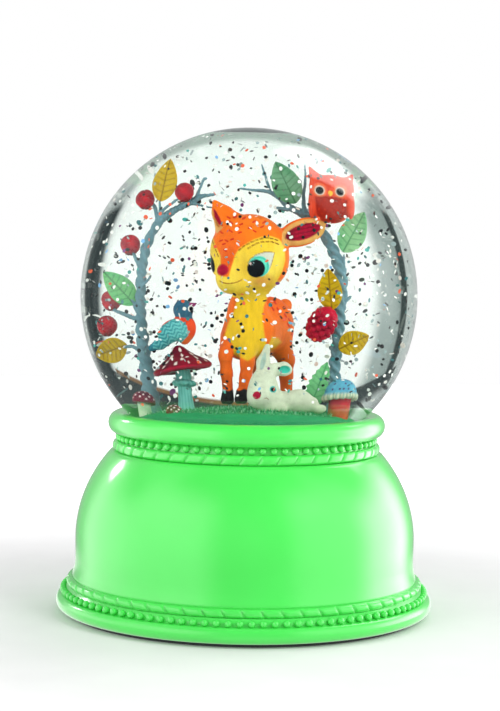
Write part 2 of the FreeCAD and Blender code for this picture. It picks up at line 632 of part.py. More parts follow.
def small_toadstool_stems():
    """Stems of the two little toadstools."""
    return [disc(1.7, 63.2, 68.9, -24.0, -4.0), disc(1.5, 62.8, 65.3, -18.4, -14.0)]


def tree(trunk, trunk_radii, branches):
    """Trunk with thin side branches, each given as points and end radii."""
    parts = [limb(trunk, trunk_radii)]
    for points, radii in branches:
        parts.append(limb(points, radii))
    return fused(parts)


def left_tree():
    """Bare tree that leans left and arches over to the middle."""
    trunk = [(-20.6, 6, 65.6), (-21.4, 6, 73.1), (-23.4, 6, 82.9), (-24.6, 6, 93.5), (-23.5, 6, 101.9),
             (-19.6, 5, 111.0), (-14.9, 4, 113.8), (-8.0, 3, 116.7)]
    branches = [
        ([(-20.6, 5.4, 109.4), (-21.4, 6, 112.0), (-23.0, 7, 113.6)], [0.8, 0.6, 0.5]),
        ([(-19.6, 5, 110.6), (-16.6, 4, 114.6), (-15.0, 3.2, 116.0)], [0.8, 0.6, 0.5]),
        ([(-11.8, 3.6, 115.2), (-10.3, 4, 120.4)], [0.7, 0.4]),
        ([(-13.0, 4, 114.4), (-8.1, 3, 113.4)], [0.6, 0.4]),
        ([(-24.0, 6, 100.4), (-25.5, 7.6, 103.2)], [0.8, 0.5]),
        ([(-24.2, 6, 88.6), (-28.6, 9, 89.8), (-29.4, 10, 91.0)], [0.9, 0.6, 0.5]),
        ([(-23.4, 6, 81.6), (-26.2, 9, 82.9)], [0.8, 0.5]),
        ([(-24.5, 6, 90.8), (-25.4, 7, 92.4)], [0.8, 0.5]),
        ([(-20.0, 5, 110.4), (-20.2, 5, 114.8)], [0.7, 0.5]),
    ]
    return tree(trunk, [1.9, 1.6, 1.5, 1.3, 1.2, 1.1, 0.9, 0.4], branches)


def left_tree_leaves():
    """Yellow and green leaves of the left tree."""
    return [leaf((-20.2, 4.4, 114.4), (-18.5, 4.6, 124.4), 6.0),
            leaf((-24.9, 6.6, 91.6), (-31.4, 9.0, 98.4), 5.6, Vector(0.3, -1, 0)),
            leaf((-26.0, 8.8, 83.0), (-32.0, 12.0, 80.7), 5.4, Vector(0.4, -1, 0))]


def left_tree_berries():
    """Round berries of the left tree."""
    places = [(-23.1, 7, 114.9), (-14.8, 3, 117.2), (-25.9, 8, 104.8), (-29.2, 10, 92.2), (-30.0, 10, 87.0)]
    return [Part.makeSphere(2.2, Vector(*place)) for place in places]


def right_tree():
    """Bare tree that arches over from the right."""
    trunk = [(19.1, 4, 65.6), (19.1, 4, 78.1), (19.9, 4, 91.3), (20.3, 4, 97.2), (17.7, 4, 105.3),
             (14.4, 4, 110.2), (12.0, 4, 112.3), (7.5, 4, 114.2), (3.9, 4, 117.3), (-2.4, 4, 117.6)]
    branches = [
        ([(4.0, 4, 117.2), (2.2, 4, 123.7)], [0.6, 0.35]),
        ([(11.9, 4, 112.4), (11.7, 4, 124.1)], [0.8, 0.4]),
        ([(9.0, 4, 113.4), (5.8, 4, 113.3)], [0.7, 0.5]),
        ([(19.9, 4, 92.0), (22.4, 4.6, 94.6)], [0.8, 0.5]),
    ]
    return tree(trunk, [1.9, 1.6, 1.5, 1.4, 1.3, 1.2, 1.1, 0.9, 0.7, 0.4], branches)


def right_tree_leaves():
    """Yellow and green leaves of the right tree."""
    return [leaf((10.4, 2.6, 114.4), (5.6, 2.6, 124.1), 6.6),
            leaf((20.6, 3.0, 104.2), (25.5, 3.6, 113.3), 6.0),
            leaf((18.5, 1.4, 91.3), (17.5, 1.0, 100.6), 5.2),
            leaf((20.2, 1.8, 82.6), (26.6, 3.0, 85.6), 5.0)]


def raspberry():
    """Raspberry that hangs on the right trunk."""
    return limb([(16.2, -0.4, 87.2), (17.0, -0.4, 88.8)], [3.0, 3.2])


def owl():
    """Small plump owl with pointed ears, on the right tree's fork."""
    parts = [
        limb([(18.3, 0.4, 115.6), (18.5, 0.4, 118.4)], [4.4, 4.7]),
        limb([(15.2, 0.2, 120.2), (13.8, 0.0, 123.8)], [1.8, 0.4]),
        limb([(21.8, 0.2, 120.0), (23.8, 0.0, 123.2)], [1.8, 0.4]),
    ]
    return fused(parts)


def fern_leaf():
    """Green leaf that stands between the rabbit and the blue mushroom."""
    return leaf((15.0, -7.2, 67.6), (17.4, -5.4, 79.4), 4.6)


def glitter_flakes(obstacles):
    """Loose round flakes spread through the water, clear of every figure."""
    rng = random.Random(7)
    reach = GLOBE_INNER_RADIUS - 2.0
    flakes = []
    while len(flakes) < FLAKE_COUNT:
        offset = Vector(rng.uniform(-reach, reach), rng.uniform(-reach, reach), rng.uniform(-28, reach))
        normal = Vector(rng.gauss(0, 1), rng.gauss(0, 1), rng.gauss(0, 1))
        centre = offset + Vector(0, 0, GLOBE_CENTRE_Z)
        if offset.Length > reach - BUBBLE_DEPTH - 1.0:
            continue
        near = any(box.isInside(centre) for box in obstacles)
        clear = all((centre - flake.CenterOfMass).Length > 3 * FLAKE_RADIUS for flake in flakes)
        if near or not clear:
            continue
        flakes.append(Part.makeCylinder(FLAKE_RADIUS, FLAKE_THICKNESS, centre, normal))
    return flakes


def obstacle_boxes(shapes):
    """Bounding boxes of the figures, grown by a flake's size."""
    boxes = []
    for shape in shapes:
        for solid in shape.Solids:
            box = solid.BoundBox
            box.enlarge(2 * FLAKE_RADIUS)
            boxes.append(box)
    return boxes


# ---- all nodes ------------------------------------------------------------------------------
def build():
    """Every sub-part by node name."""
    mound = grass_mound()
    scene = {
        "fawn": fawn(), "rabbit": rabbit(), "bird": bird(),
        "toadstool_cap": toadstool_cap(), "toadstool_stem": toadstool_stem(),
        "blue_mushroom_cap": blue_mushroom_cap(), "blue_mushroom_stem": blue_mushroom_stem(),
        "small_toadstool_caps": small_toadstool_caps(), "small_toadstool_stems": small_toadstool_stems(),
        "left_tree": left_tree(), "left_tree_leaves": left_tree_leaves(),
        "left_tree_berries": left_tree_berries(),
        "right_tree": right_tree(), "right_tree_leaves": right_tree_leaves(),
        "raspberry": raspberry(), "owl": owl(), "fern_leaf": fern_leaf(),
    }
    nodes = {
        "glass_globe": glass_globe(), "liquid_fill": liquid_fill(mound), "stopper": stopper(),
        "glue_ring": glue_ring(), "grass_mound": mound, "base_shell": base_shell(),
        "foot_pad": foot_pad(), "bottom_plate": bottom_plate(), "plate_screws": plate_screws(),
        "battery_door": battery_door(), "door_screw_1": door_screw(-1), "door_screw_2": door_screw(1),
        "contact_plates": contact_plates(), "contact_springs": contact_springs(),
        "switch_body": switch_body(), "switch_knob": switch_knob(), "switch_screws": switch_screws(),
        "led_board": led_board(), "leds": leds(), "board_screws": board_screws(),
        "reflector_cup": reflector_cup(),
    }
    nodes.update({f"battery_{index + 1}": battery(index) for index in range(BATTERY_COUNT)})
    nodes.update(wires())
    nodes.update(scene)
    figures = [as_shape(item) for item in scene.values()] + [mound]
    nodes["glitter_flakes"] = glitter_flakes(obstacle_boxes(figures))
    return nodes


def as_shape(item):
    """A shape from one solid or from a list of separate solids."""
    return Part.makeCompound(item) if isinstance(item, list) else item


def main():
    os.makedirs("parts", exist_ok=True)
    for name, item in build().items():
        shape = as_shape(item)
        if len(shape.Solids) == 1:
            shape = shape.Solids[0]
        shape.exportStep(f"parts/{name}.step")
        print(f"{name:24s} solids {len(shape.Solids):3d}  volume {shape.Volume:10.1f}  "
              f"valid {shape.isValid()}")


main()
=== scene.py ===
import math

import bpy
import numpy as np
import openvdb
from mathutils import Matrix, Vector
from mathutils.kdtree import KDTree


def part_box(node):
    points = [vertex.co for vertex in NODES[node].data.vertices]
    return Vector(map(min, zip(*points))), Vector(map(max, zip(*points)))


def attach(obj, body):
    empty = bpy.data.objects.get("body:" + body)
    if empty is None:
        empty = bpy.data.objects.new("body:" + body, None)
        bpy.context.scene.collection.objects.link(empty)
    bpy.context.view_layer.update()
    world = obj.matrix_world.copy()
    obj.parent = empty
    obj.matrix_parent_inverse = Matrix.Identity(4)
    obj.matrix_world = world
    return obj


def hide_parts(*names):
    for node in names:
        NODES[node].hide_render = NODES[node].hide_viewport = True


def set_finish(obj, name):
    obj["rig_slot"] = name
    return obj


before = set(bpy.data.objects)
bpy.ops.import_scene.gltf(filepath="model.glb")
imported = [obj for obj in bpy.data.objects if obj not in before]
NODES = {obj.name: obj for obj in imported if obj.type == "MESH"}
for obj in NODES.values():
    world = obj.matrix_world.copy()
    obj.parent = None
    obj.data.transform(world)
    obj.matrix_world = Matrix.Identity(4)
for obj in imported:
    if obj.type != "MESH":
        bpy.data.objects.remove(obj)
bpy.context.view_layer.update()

MM = 0.001
ROOT = "globe_and_base"

# ---- sizes taken from the frame, in millimetres -------------------------------------------
GLASS_LOW, GLASS_HIGH = [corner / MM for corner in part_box("glass_globe")]
LIQUID_LOW, LIQUID_HIGH = [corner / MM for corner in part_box("liquid_fill")]
SHELL_LOW, SHELL_HIGH = [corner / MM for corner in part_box("base_shell")]
MOUND_LOW, MOUND_HIGH = [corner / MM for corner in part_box("grass_mound")]
GLOBE_R = 50.0
GLASS_WALL = 2.5
CENTRE_Z = GLASS_HIGH.z - GLOBE_R
NECK_OUT = 34.8
NECK_IN = 32.4
LIQUID_OVERLAP = 0.06        # the liquid reaches this far into the wall, so no air film shows
MOUND_TOP_R = 24.6           # where the mound's top ends and its shoulder starts
MOUND_SHOULDER = 3.7
MOUND_SHOULDER_Z = 60.8
MOUND_SIDE_R = 28.4
GRASS_BLADES = 6200
GRASS_REACH = 25.8

rng = np.random.default_rng(11)


# ---- colour -------------------------------------------------------------------------------
def tint(red, green, blue):
    """Linear colour from 0-255 display values."""
    values = np.array([red, green, blue], float) / 255.0
    return np.where(values <= 0.04045, values / 12.92, ((values + 0.055) / 1.055) ** 2.4)


ORANGE = tint(252, 126, 24)
DEEP_ORANGE = tint(226, 88, 30)
YELLOW = tint(232, 190, 36)
PALE_YELLOW = tint(240, 210, 76)
BLUSH = tint(216, 138, 72)
DASH_RED = tint(206, 40, 24)
CRIMSON = tint(168, 14, 50)
DARK_CRIMSON = tint(112, 10, 40)
TAN = tint(222, 170, 92)
BLACK = tint(14, 20, 26)
TURQUOISE = tint(92, 214, 184)
EYE_WHITE = tint(206, 210, 192)
STITCH = tint(120, 66, 24)
CREAM = tint(210, 220, 194)
WARM_GREY = tint(178, 186, 158)
SLATE_BLUE = tint(44, 92, 116)
TEAL = tint(40, 128, 140)
PALE_TEAL = tint(110, 196, 190)
BREAST = tint(232, 82, 40)
BARK_DARK = tint(3, 12, 15)
BARK_LIGHT = tint(22, 58, 62)
OCHRE = tint(186, 152, 4)
OCHRE_DARK = tint(118, 84, 6)
LEAF_GREEN = tint(82, 178, 108)
LEAF_DARK = tint(44, 104, 62)
BERRY_RED = tint(214, 12, 30)
OWL_RED = tint(216, 52, 24)
OWL_DARK = tint(146, 16, 6)
MOUND_GREEN = tint(42, 136, 90)
GRASS_TOP = tint(64, 160, 116)
GRASS_PALE = tint(166, 220, 184)
SKY_BLUE = tint(98, 176, 196)
PURPLE = tint(70, 30, 90)


# ---- mesh helpers -------------------------------------------------------------------------
def make_object(name, points, faces, paint=None, smooth=True):
    """Mesh object from points in millimetres, faces, and an optional colour for each point."""
    mesh = bpy.data.meshes.new(name)
    mesh.from_pydata((np.asarray(points, float) * MM).tolist(), [], [list(map(int, face)) for face in faces])
    mesh.validate()
    if smooth:
        mesh.polygons.foreach_set("use_smooth", [True] * len(mesh.polygons))
    if paint is not None:
        colours = np.ones((len(mesh.vertices), 4), np.float32)
        colours[:, :3] = np.clip(paint, 0.0, 1.0)
        layer = mesh.color_attributes.new("paint", "FLOAT_COLOR", "POINT")
        layer.data.foreach_set("color", colours.ravel())
    mesh.update()
    piece = bpy.data.objects.new(name, mesh)
    bpy.context.scene.collection.objects.link(piece)
    return piece


def join_parts(parts):
    """One (points, faces, paint) from several."""
    points, faces, paint, start = [], [], [], 0
    for part_points, part_faces, part_paint in parts:
        points.append(part_points)
        paint.append(part_paint)
        faces += [[index + start for index in face] for face in part_faces]
        start += len(part_points)
    return np.vstack(points), faces, np.vstack(paint)


def lathe(profile, steps=192, closed=True):
    """Points and faces of a closed outline of (radius, height) turned about Z."""
    profile = np.asarray(profile, float)
    turn = 2 * math.pi * np.arange(steps) / steps
    rings, points = [], []
    for radius, height in profile:
        if radius < 1e-6:
            rings.append([len(points)] * steps)
            points.append((0.0, 0.0, height))
            continue
        start = len(points)
        points += list(zip(radius * np.cos(turn), radius * np.sin(turn), [height] * steps))
        rings.append(list(range(start, start + steps)))
    faces = []
    pairs = list(zip(rings, rings[1:]))
    if closed and profile[0][0] > 1e-6:
        pairs.append((rings[-1], rings[0]))
    for lower, upper in pairs:
        for step in range(steps):
            after = (step + 1) % steps
            face = [lower[step], lower[after], upper[after], upper[step]]
            face = list(dict.fromkeys(face))
            if len(face) > 2:
                faces.append(face)
    return np.array(points), faces


def dense(profile, count):
    """The same outline with each straight run cut into equal steps."""
    profile = np.array(profile, float)
    runs = [np.linspace(a, b, count)[1:] for a, b in zip(profile, profile[1:])]
    return np.vstack([profile[:1]] + runs)


def arc_points(centre, radii, start_deg, end_deg, count):
    """Points on an elliptical arc in the (radius, height) plane."""
    turn = np.radians(np.linspace(start_deg, end_deg, count))
    return [(centre[0] + radii[0] * math.cos(t), centre[1] + radii[1] * math.sin(t)) for t in turn]


def ball_mesh(centre, radii, rows=12, steps=16):
    """Points and faces of a small ellipsoid."""
    profile = arc_points((0, 0), (1, 1), -90, 90, rows)
    profile[0], profile[-1] = (0.0, -1.0), (0.0, 1.0)
    points, faces = lathe(profile, steps, closed=False)
    return points * np.asarray(radii, float) + np.asarray(centre, float), faces


def paint_all(points, colour):
    """The same colour for every point."""
    return np.tile(colour, (len(points), 1))


def mix(first, second, share):
    """Blend of two colours, by a share for each point."""
    share = np.clip(np.asarray(share, float), 0.0, 1.0)[..., None]
    return np.asarray(first) * (1 - share) + np.asarray(second) * share


def step_in(edge_low, edge_high, value):
    """Smooth step from 0 to 1."""
    share = np.clip((value - edge_low) / (edge_high - edge_low), 0.0, 1.0)
    return share * share * (3 - 2 * share)


def ripple(points, scale, seed=0):
    """Cheap smooth pseudo-noise between about -1 and 1, from a few turned sine waves."""
    source = np.random.default_rng(seed)
    total = np.zeros(len(points))
    for index in range(5):
        direction = source.normal(size=3)
        direction *= scale * (1.0 + 0.6 * index) / np.linalg.norm(direction)
        total += np.sin(points @ direction + source.uniform(0, 6.28)) / (1.0 + 0.5 * index)
    return total / 2.2


def tone_of(points, scale, seed):
    """Smooth mottling between about 0 and 1."""
    return 0.5 + 0.5 * ripple(points, scale, seed)


def mottled(first, second, points, scale, seed):
    """Two colours blended by smooth mottling."""
    return mix(first, second, tone_of(points, scale, seed))


# ---- soft modelling with distance fields ---------------------------------------------------
class Clay:
    """A block of space on a grid, in millimetres, that shapes are added to and cut from."""

    def __init__(self, low, high, voxel):
        self.low, self.voxel = np.asarray(low, float), voxel
        axes = [np.arange(a, b, voxel, dtype=np.float32) for a, b in zip(low, high)]
        self.x, self.y, self.z = np.meshgrid(*axes, indexing="ij", sparse=True)
        self.field = np.full([len(axis) for axis in axes], 50.0, np.float32)

    def oval(self, centre, radii, turn=None):
        """Distance to an ellipsoid, turned by a 3x3 matrix whose rows are its own axes."""
        offset = (self.x - centre[0], self.y - centre[1], self.z - centre[2])
        rows = np.eye(3) if turn is None else np.asarray(turn)
        near, far = 0.0, 0.0
        for row, radius in zip(rows, radii):
            along = offset[0] * row[0] + offset[1] * row[1] + offset[2] * row[2]
            near = near + (along / radius) ** 2
            far = far + (along / radius ** 2) ** 2
        near, far = np.sqrt(near), np.sqrt(far) + 1e-6
        return near * (near - 1.0) / far

    def taper(self, start, end, start_radius, end_radius):
        """Distance to a round-ended taper."""
        start, end = np.asarray(start, float), np.asarray(end, float)
        along = end - start
        square = float(along @ along)
        offset = (self.x - start[0], self.y - start[1], self.z - start[2])
        share = (offset[0] * along[0] + offset[1] * along[1] + offset[2] * along[2]) / square
        share = np.clip(share, 0.0, 1.0)
        gap = sum((offset[axis] - share * along[axis]) ** 2 for axis in range(3))
        return np.sqrt(gap) - (start_radius + (end_radius - start_radius) * share)

    def add(self, distance, soft=0.5):
        """Joins a shape with a soft seam."""
        share = np.clip(0.5 + 0.5 * (distance - self.field) / soft, 0.0, 1.0)
        self.field = distance * (1 - share) + self.field * share - soft * share * (1 - share)

    def cut(self, distance, soft=0.3):
        """Takes a shape away with a soft edge."""
        share = np.clip(0.5 - 0.5 * (self.field + distance) / soft, 0.0, 1.0)
        self.field = self.field * (1 - share) - distance * share + soft * share * (1 - share)

    def limb(self, points, radii, soft=0.8):
        """Adds tapers through points."""
        for index in range(len(points) - 1):
            self.add(self.taper(points[index], points[index + 1], radii[index], radii[index + 1]), soft)

    def skin(self):
        """Closed mesh of the surface: points in millimetres, and faces."""
        reach = 4 * self.voxel
        grid = openvdb.FloatGrid(reach)
        grid.copyFromArray(np.clip(self.field, -reach, reach).astype(np.float32))
        points, triangles, quads = grid.convertToPolygons(isovalue=0.0, adaptivity=0.0)
        points = points.astype(float) * self.voxel + self.low
        faces = [list(face) for face in quads] + [list(face) for face in triangles]
        return points, outward(points, faces)


def outward(points, faces):
    """Faces turned so that the closed mesh's volume is positive."""
    fans = np.array([[face[0], face[1], face[2]] for face in faces])
    first, second, third = points[fans[:, 0]], points[fans[:, 1]], points[fans[:, 2]]
    middle = points.mean(axis=0)
    volume = np.einsum("ij,ij->i", first - middle, np.cross(second - first, third - first)).sum()
    return [face[::-1] for face in faces] if volume < 0 else faces


def curve_through(points, per_span=8):
    """Smooth Catmull-Rom curve through given points."""
    points = np.asarray(points, float)
    ends = np.vstack([2 * points[0] - points[1], points, 2 * points[-1] - points[-2]])
    result = []
    for index in range(1, len(ends) - 2):
        p0, p1, p2, p3 = ends[index - 1:index + 3]
        for t in np.linspace(0, 1, per_span, endpoint=False):
            result.append(0.5 * (2 * p1 + (p2 - p0) * t + (2 * p0 - 5 * p1 + 4 * p2 - p3) * t ** 2
                                 + (3 * p1 - p0 - 3 * p2 + p3) * t ** 3))
    result.append(points[-1])
    return np.array(result)


# ---- material helpers ----------------------------------------------------------------------
class Shader:
    """A node material with a Principled surface."""

    def __init__(self, name, roughness=0.5, **sockets):
        self.material = bpy.data.materials.new(name)
        self.material.use_nodes = True
        self.tree = self.material.node_tree
        self.surface = self.tree.nodes["Principled BSDF"]
        self.surface.inputs["Roughness"].default_value = roughness
        for socket, value in sockets.items():
            self.surface.inputs[socket.replace("_", " ")].default_value = value

    def node(self, kind, **settings):
        item = self.tree.nodes.new(kind)
        for key, value in settings.items():
            setattr(item, key, value)
        return item

    def link(self, source, target):
        self.tree.links.new(source, target)

    def place(self, scale=(1.0, 1.0, 1.0)):
        """Object coordinates, stretched."""
        where = self.node("ShaderNodeTexCoord")
        stretch = self.node("ShaderNodeMapping")
        stretch.inputs["Scale"].default_value = scale
        self.link(where.outputs["Object"], stretch.inputs["Vector"])
        return stretch.outputs["Vector"]

    def noise(self, scale, detail=4.0, stretch=(1.0, 1.0, 1.0), rough=0.55):
        """Noise whose scale is in waves per metre."""
        item = self.node("ShaderNodeTexNoise")
        item.inputs["Scale"].default_value = scale
        item.inputs["Detail"].default_value = detail
        item.inputs["Roughness"].default_value = rough
        self.link(self.place(stretch), item.inputs["Vector"])
        return item.outputs["Fac"]

    def ramp(self, factor, stops):
        """Colour ramp from (position, colour) stops."""
        item = self.node("ShaderNodeValToRGB")
        band = item.color_ramp
        while len(band.elements) < len(stops):
            band.elements.new(0.5)
        for element, (position, colour) in zip(band.elements, stops):
            element.position = position
            element.color = (*colour, 1.0)
        self.link(factor, item.inputs["Fac"])
        return item.outputs["Color"]

    def blend(self, factor, first, second, mode="MIX"):
        """Mix of two colours, each an output socket or a constant."""
        item = self.node("ShaderNodeMix", data_type="RGBA", blend_type=mode)
        sockets = [item.inputs[0], item.inputs[6], item.inputs[7]]
        for socket, value in zip(sockets, (factor, first, second)):
            if hasattr(value, "is_output"):
                self.link(value, socket)
            elif socket.type == "VALUE":
                socket.default_value = value
            else:
                socket.default_value = (*value, 1.0)
        return item.outputs[2]

    def span(self, factor, low, high):
        """Maps 0-1 to low-high."""
        item = self.node("ShaderNodeMapRange")
        item.inputs["To Min"].default_value = low
        item.inputs["To Max"].default_value = high
        self.link(factor, item.inputs["Value"])
        return item.outputs["Result"]

    def reach(self, value, low, high):
        """0 below low, 1 above high, smooth between."""
        item = self.node("ShaderNodeMapRange", interpolation_type="SMOOTHSTEP")
        item.inputs["From Min"].default_value = low
        item.inputs["From Max"].default_value = high
        self.link(value, item.inputs["Value"])
        return item.outputs["Result"]

    def choose(self, share, first, second):
        """Mix of two shaders."""
        item = self.node("ShaderNodeMixShader")
        for source, socket in zip((share, first, second), item.inputs):
            self.link(source, socket)
        return item.outputs["Shader"]

    def bump(self, height, depth, strength=1.0):
        """Surface relief, depth in metres."""
        item = self.node("ShaderNodeBump")
        item.inputs["Strength"].default_value = strength
        item.inputs["Distance"].default_value = depth
        self.link(height, item.inputs["Height"])
        self.link(item.outputs["Normal"], self.surface.inputs["Normal"])
        return item

    def colour(self, source):
        self.link(source, self.surface.inputs["Base Color"])

    def roughness(self, source):
        self.link(source, self.surface.inputs["Roughness"])

    def attribute(self, name="paint"):
        item = self.node("ShaderNodeAttribute", attribute_name=name)
        return item.outputs["Color"]


def painted(name, roughness=0.42, grain=700.0, stroke=(1.0, 1.0, 0.35), relief=0.00006, coat=0.0, shade=0.16):
    """Hand-painted resin: the piece's painted colours under brush strokes and fine relief."""
    shader = Shader(name, roughness, Coat_Weight=coat, Coat_Roughness=0.12, Specular_IOR_Level=0.07)
    strokes = shader.noise(grain, 5.0, stroke)
    blotches = shader.noise(grain * 0.22, 3.0)
    colour = shader.blend(1.0, shader.attribute(),
                          shader.ramp(strokes, [(0.25, (1 - shade,) * 3), (0.75, (1 + shade * 0.4,) * 3)]),
                          "MULTIPLY")
    colour = shader.blend(1.0, colour,
                          shader.ramp(blotches, [(0.3, (0.93, 0.92, 0.94)), (0.7, (1.0, 1.0, 1.0))]),
                          "MULTIPLY")
    shader.colour(colour)
    shader.roughness(shader.span(strokes, roughness - 0.1, roughness + 0.12))
    shader.bump(strokes, relief, 0.5)
    return shader.material


def plain_plastic(name, colour, roughness, grain=2500.0, relief=0.00002, metallic=0.0, spread=0.06):
    """Moulded plastic, rubber or metal with fine grain and slight colour change."""
    shader = Shader(name, roughness, Metallic=metallic)
    fine = shader.noise(grain, 3.0)
    broad = shader.noise(90.0, 2.0)
    low = np.asarray(colour) * (1 - spread)
    shader.colour(shader.ramp(broad, [(0.3, low), (0.7, colour)]))
    shader.roughness(shader.span(fine, max(roughness - 0.08, 0.03), roughness + 0.08))
    shader.bump(fine, relief, 0.4)
    return shader.material


def dress(piece, material, slot=None, body=ROOT, replaces=()):
    """Gives a piece its material, body, record slot and the CAD nodes it stands for."""
    piece.data.materials.clear()
    piece.data.materials.append(material)
    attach(piece, body)
    if slot:
        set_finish(piece, slot)
    if replaces:
        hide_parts(*replaces)
    return piece


def show(name, shape, material, slot, node):
    """A painted piece from (points, faces, paint), standing for one CAD node."""
    return dress(make_object(name, *shape), material, slot, replaces=(node,))


# ---- clear parts ---------------------------------------------------------------------------
def clear_material(name, ior, colour, streak):
    """Clear solid whose shadows let light through, with faint variation in its surface."""
    material = bpy.data.materials.new(name)
    material.use_nodes = True
    nodes, links = material.node_tree.nodes, material.node_tree.links
    nodes.clear()
    out = nodes.new("ShaderNodeOutputMaterial")
    glass = nodes.new("ShaderNodeBsdfGlass")
    glass.inputs["IOR"].default_value = ior
    glass.inputs["Roughness"].default_value = 0.0
    clear = nodes.new("ShaderNodeBsdfTransparent")
    path = nodes.new("ShaderNodeLightPath")
    either = nodes.new("ShaderNodeMath")
    either.operation = "MAXIMUM"
    mixer = nodes.new("ShaderNodeMixShader")
    where = nodes.new("ShaderNodeTexCoord")
    swirl = nodes.new("ShaderNodeTexNoise")
    swirl.inputs["Scale"].default_value = streak
    ramp = nodes.new("ShaderNodeValToRGB")
    ramp.color_ramp.elements[0].position = 0.3
    ramp.color_ramp.elements[1].position = 0.7
    ramp.color_ramp.elements[0].color = (*[value * 0.985 for value in colour], 1.0)
    ramp.color_ramp.elements[1].color = (*colour, 1.0)
    links.new(where.outputs["Object"], swirl.inputs["Vector"])
    links.new(swirl.outputs["Fac"], ramp.inputs["Fac"])
    links.new(ramp.outputs["Color"], glass.inputs["Color"])
    links.new(path.outputs["Is Shadow Ray"], either.inputs[0])
    links.new(path.outputs["Is Diffuse Ray"], either.inputs[1])
    links.new(either.outputs["Value"], mixer.inputs["Fac"])
    links.new(glass.outputs["BSDF"], mixer.inputs[1])
    links.new(clear.outputs["BSDF"], mixer.inputs[2])
    links.new(mixer.outputs["Shader"], out.inputs["Surface"])
    return material


def globe_profile(ball_radius, neck_radius, end_radius, count):
    """Section of the ball from the neck up to a radius near the top."""
    start = -math.degrees(math.acos(neck_radius / ball_radius))
    end = math.degrees(math.acos(end_radius / ball_radius))
    return arc_points((0, CENTRE_Z), (ball_radius, ball_radius), start, end, count)


def build_glass():
    outer = globe_profile(GLOBE_R, NECK_OUT, 0.0, 120)
    inner = globe_profile(GLOBE_R - GLASS_WALL, NECK_IN, 0.0, 120)
    outer[-1], inner[-1] = (0.0, outer[-1][1]), (0.0, inner[-1][1])
    low = GLASS_LOW.z
    neck = [(NECK_IN, low + 0.5), (NECK_IN + 0.5, low), (NECK_OUT - 0.5, low), (NECK_OUT, low + 0.5)]
    profile = inner[::-1] + neck + outer
    points, faces = lathe(profile, 256, closed=False)
    piece = make_object("globe_glass", points, outward(points, faces))
    return dress(piece, clear_material("clear_glass", 1.5, (0.985, 1.0, 0.99), 60.0), "glass",
                 replaces=("glass_globe",))


def build_liquid():
    ball_radius = GLOBE_R - GLASS_WALL + LIQUID_OVERLAP
    level = LIQUID_HIGH.z - CENTRE_Z
    rim = math.sqrt(ball_radius ** 2 - level ** 2)
    outer = globe_profile(ball_radius, NECK_IN + LIQUID_OVERLAP, rim, 120)
    floor_z = LIQUID_LOW.z + 0.02
    meniscus = [(rim * share, LIQUID_HIGH.z - 0.35 * (1 - share ** 6)) for share in (0.94, 0.85, 0.7, 0.4,
                                                                                     0.0)]
    profile = [(0.0, floor_z), (NECK_IN + LIQUID_OVERLAP, floor_z)] + outer + meniscus
    points, faces = lathe(profile, 256, closed=False)
    piece = make_object("water", points, outward(points, faces))
    return dress(piece, clear_material("clear_liquid", 1.333, (0.985, 1.0, 0.992), 40.0), "water",
                 replaces=("liquid_fill",))


# ---- the moulded base ----------------------------------------------------------------------
def lacquer():
    """Thick mint-green gloss lacquer with faint orange-peel."""
    shader = Shader("mint_lacquer", 0.32, Coat_Weight=0.9, Coat_Roughness=0.07)
    broad = shader.noise(28.0, 3.0)
    fine = shader.noise(420.0, 2.0)
    shader.colour(shader.ramp(broad, [(0.3, tint(62, 207, 74)), (0.7, tint(68, 216, 81))]))
    shader.roughness(shader.span(fine, 0.28, 0.36))
    relief = shader.bump(fine, 0.00004, 0.12)
    shader.link(relief.outputs["Normal"], shader.surface.inputs["Coat Normal"])
    return shader.material


DOME_R, DOME_Z, DOME_H, DOME_TOP = 50.6, 22.1, 43.1, 48.0
LOWER_ROPE = dict(ring=51.9, z=9.1, half_height=1.3, depth=1.15, count=60, slant=0.15)
UPPER_ROPE = dict(ring=38.9, z=49.45, half_height=1.5, depth=1.0, count=47, slant=-0.17)
LOWER_BEADS = dict(count=105, ring=54.0, radius=1.0, z=6.7)
UPPER_BEADS = dict(count=76, ring=38.1, radius=1.06, z=52.05)


def dome_run(low, high, inset, count):
    """Points of the dome's ellipse between two heights."""
    heights = np.linspace(low, high, count)
    return [((DOME_R - inset) * math.sqrt(max(0.0, 1 - ((z - DOME_Z) / (DOME_H - inset)) ** 2)), z)
            for z in heights]


def shell_profile():
    """Closed section of the shell, outside from the bottom up and inside down again."""
    flange = arc_points((54.4, 3.45), (1.72, 2.25), -90, 90, 17)
    cove = [(53.6, 5.75), (53.25, 6.2), (53.05, 7.7), (51.3, 7.95), (51.2, 10.2), (51.55, 10.5)]
    foot = [(51.3, 11.2), (50.95, 12.5), (50.7, 14.0), (DOME_R, 16.0), (DOME_R, 19.0)]
    dome = dome_run(DOME_Z, DOME_TOP - 0.35, 0.0, 40)
    shoulder = [(40.1, DOME_TOP - 0.05), (38.8, DOME_TOP), (38.1, DOME_TOP + 0.1), (38.0, 51.0), (37.8, 53.0)]
    rim = arc_points((38.5, 56.25), (2.8, 3.15), -84, 90, 25)
    lip = arc_points((38.5, 57.8), (3.5, 1.6), 95, 165, 8)
    seat = [(35.05, 58.1), (35.0, 57.6), (35.0, 56.8), (35.6, 56.8), (35.6, 47.5), (29.0, 47.5), (29.0, 45.0)]
    inside = dome_run(45.0, DOME_Z, 2.6, 24)
    foot_inside = [(48.0, 8.0), (49.5, 4.2), (51.9, 4.2), (51.9, SHELL_LOW.z)]
    return flange + cove + foot + dome + shoulder + rim + lip + seat + inside + foot_inside


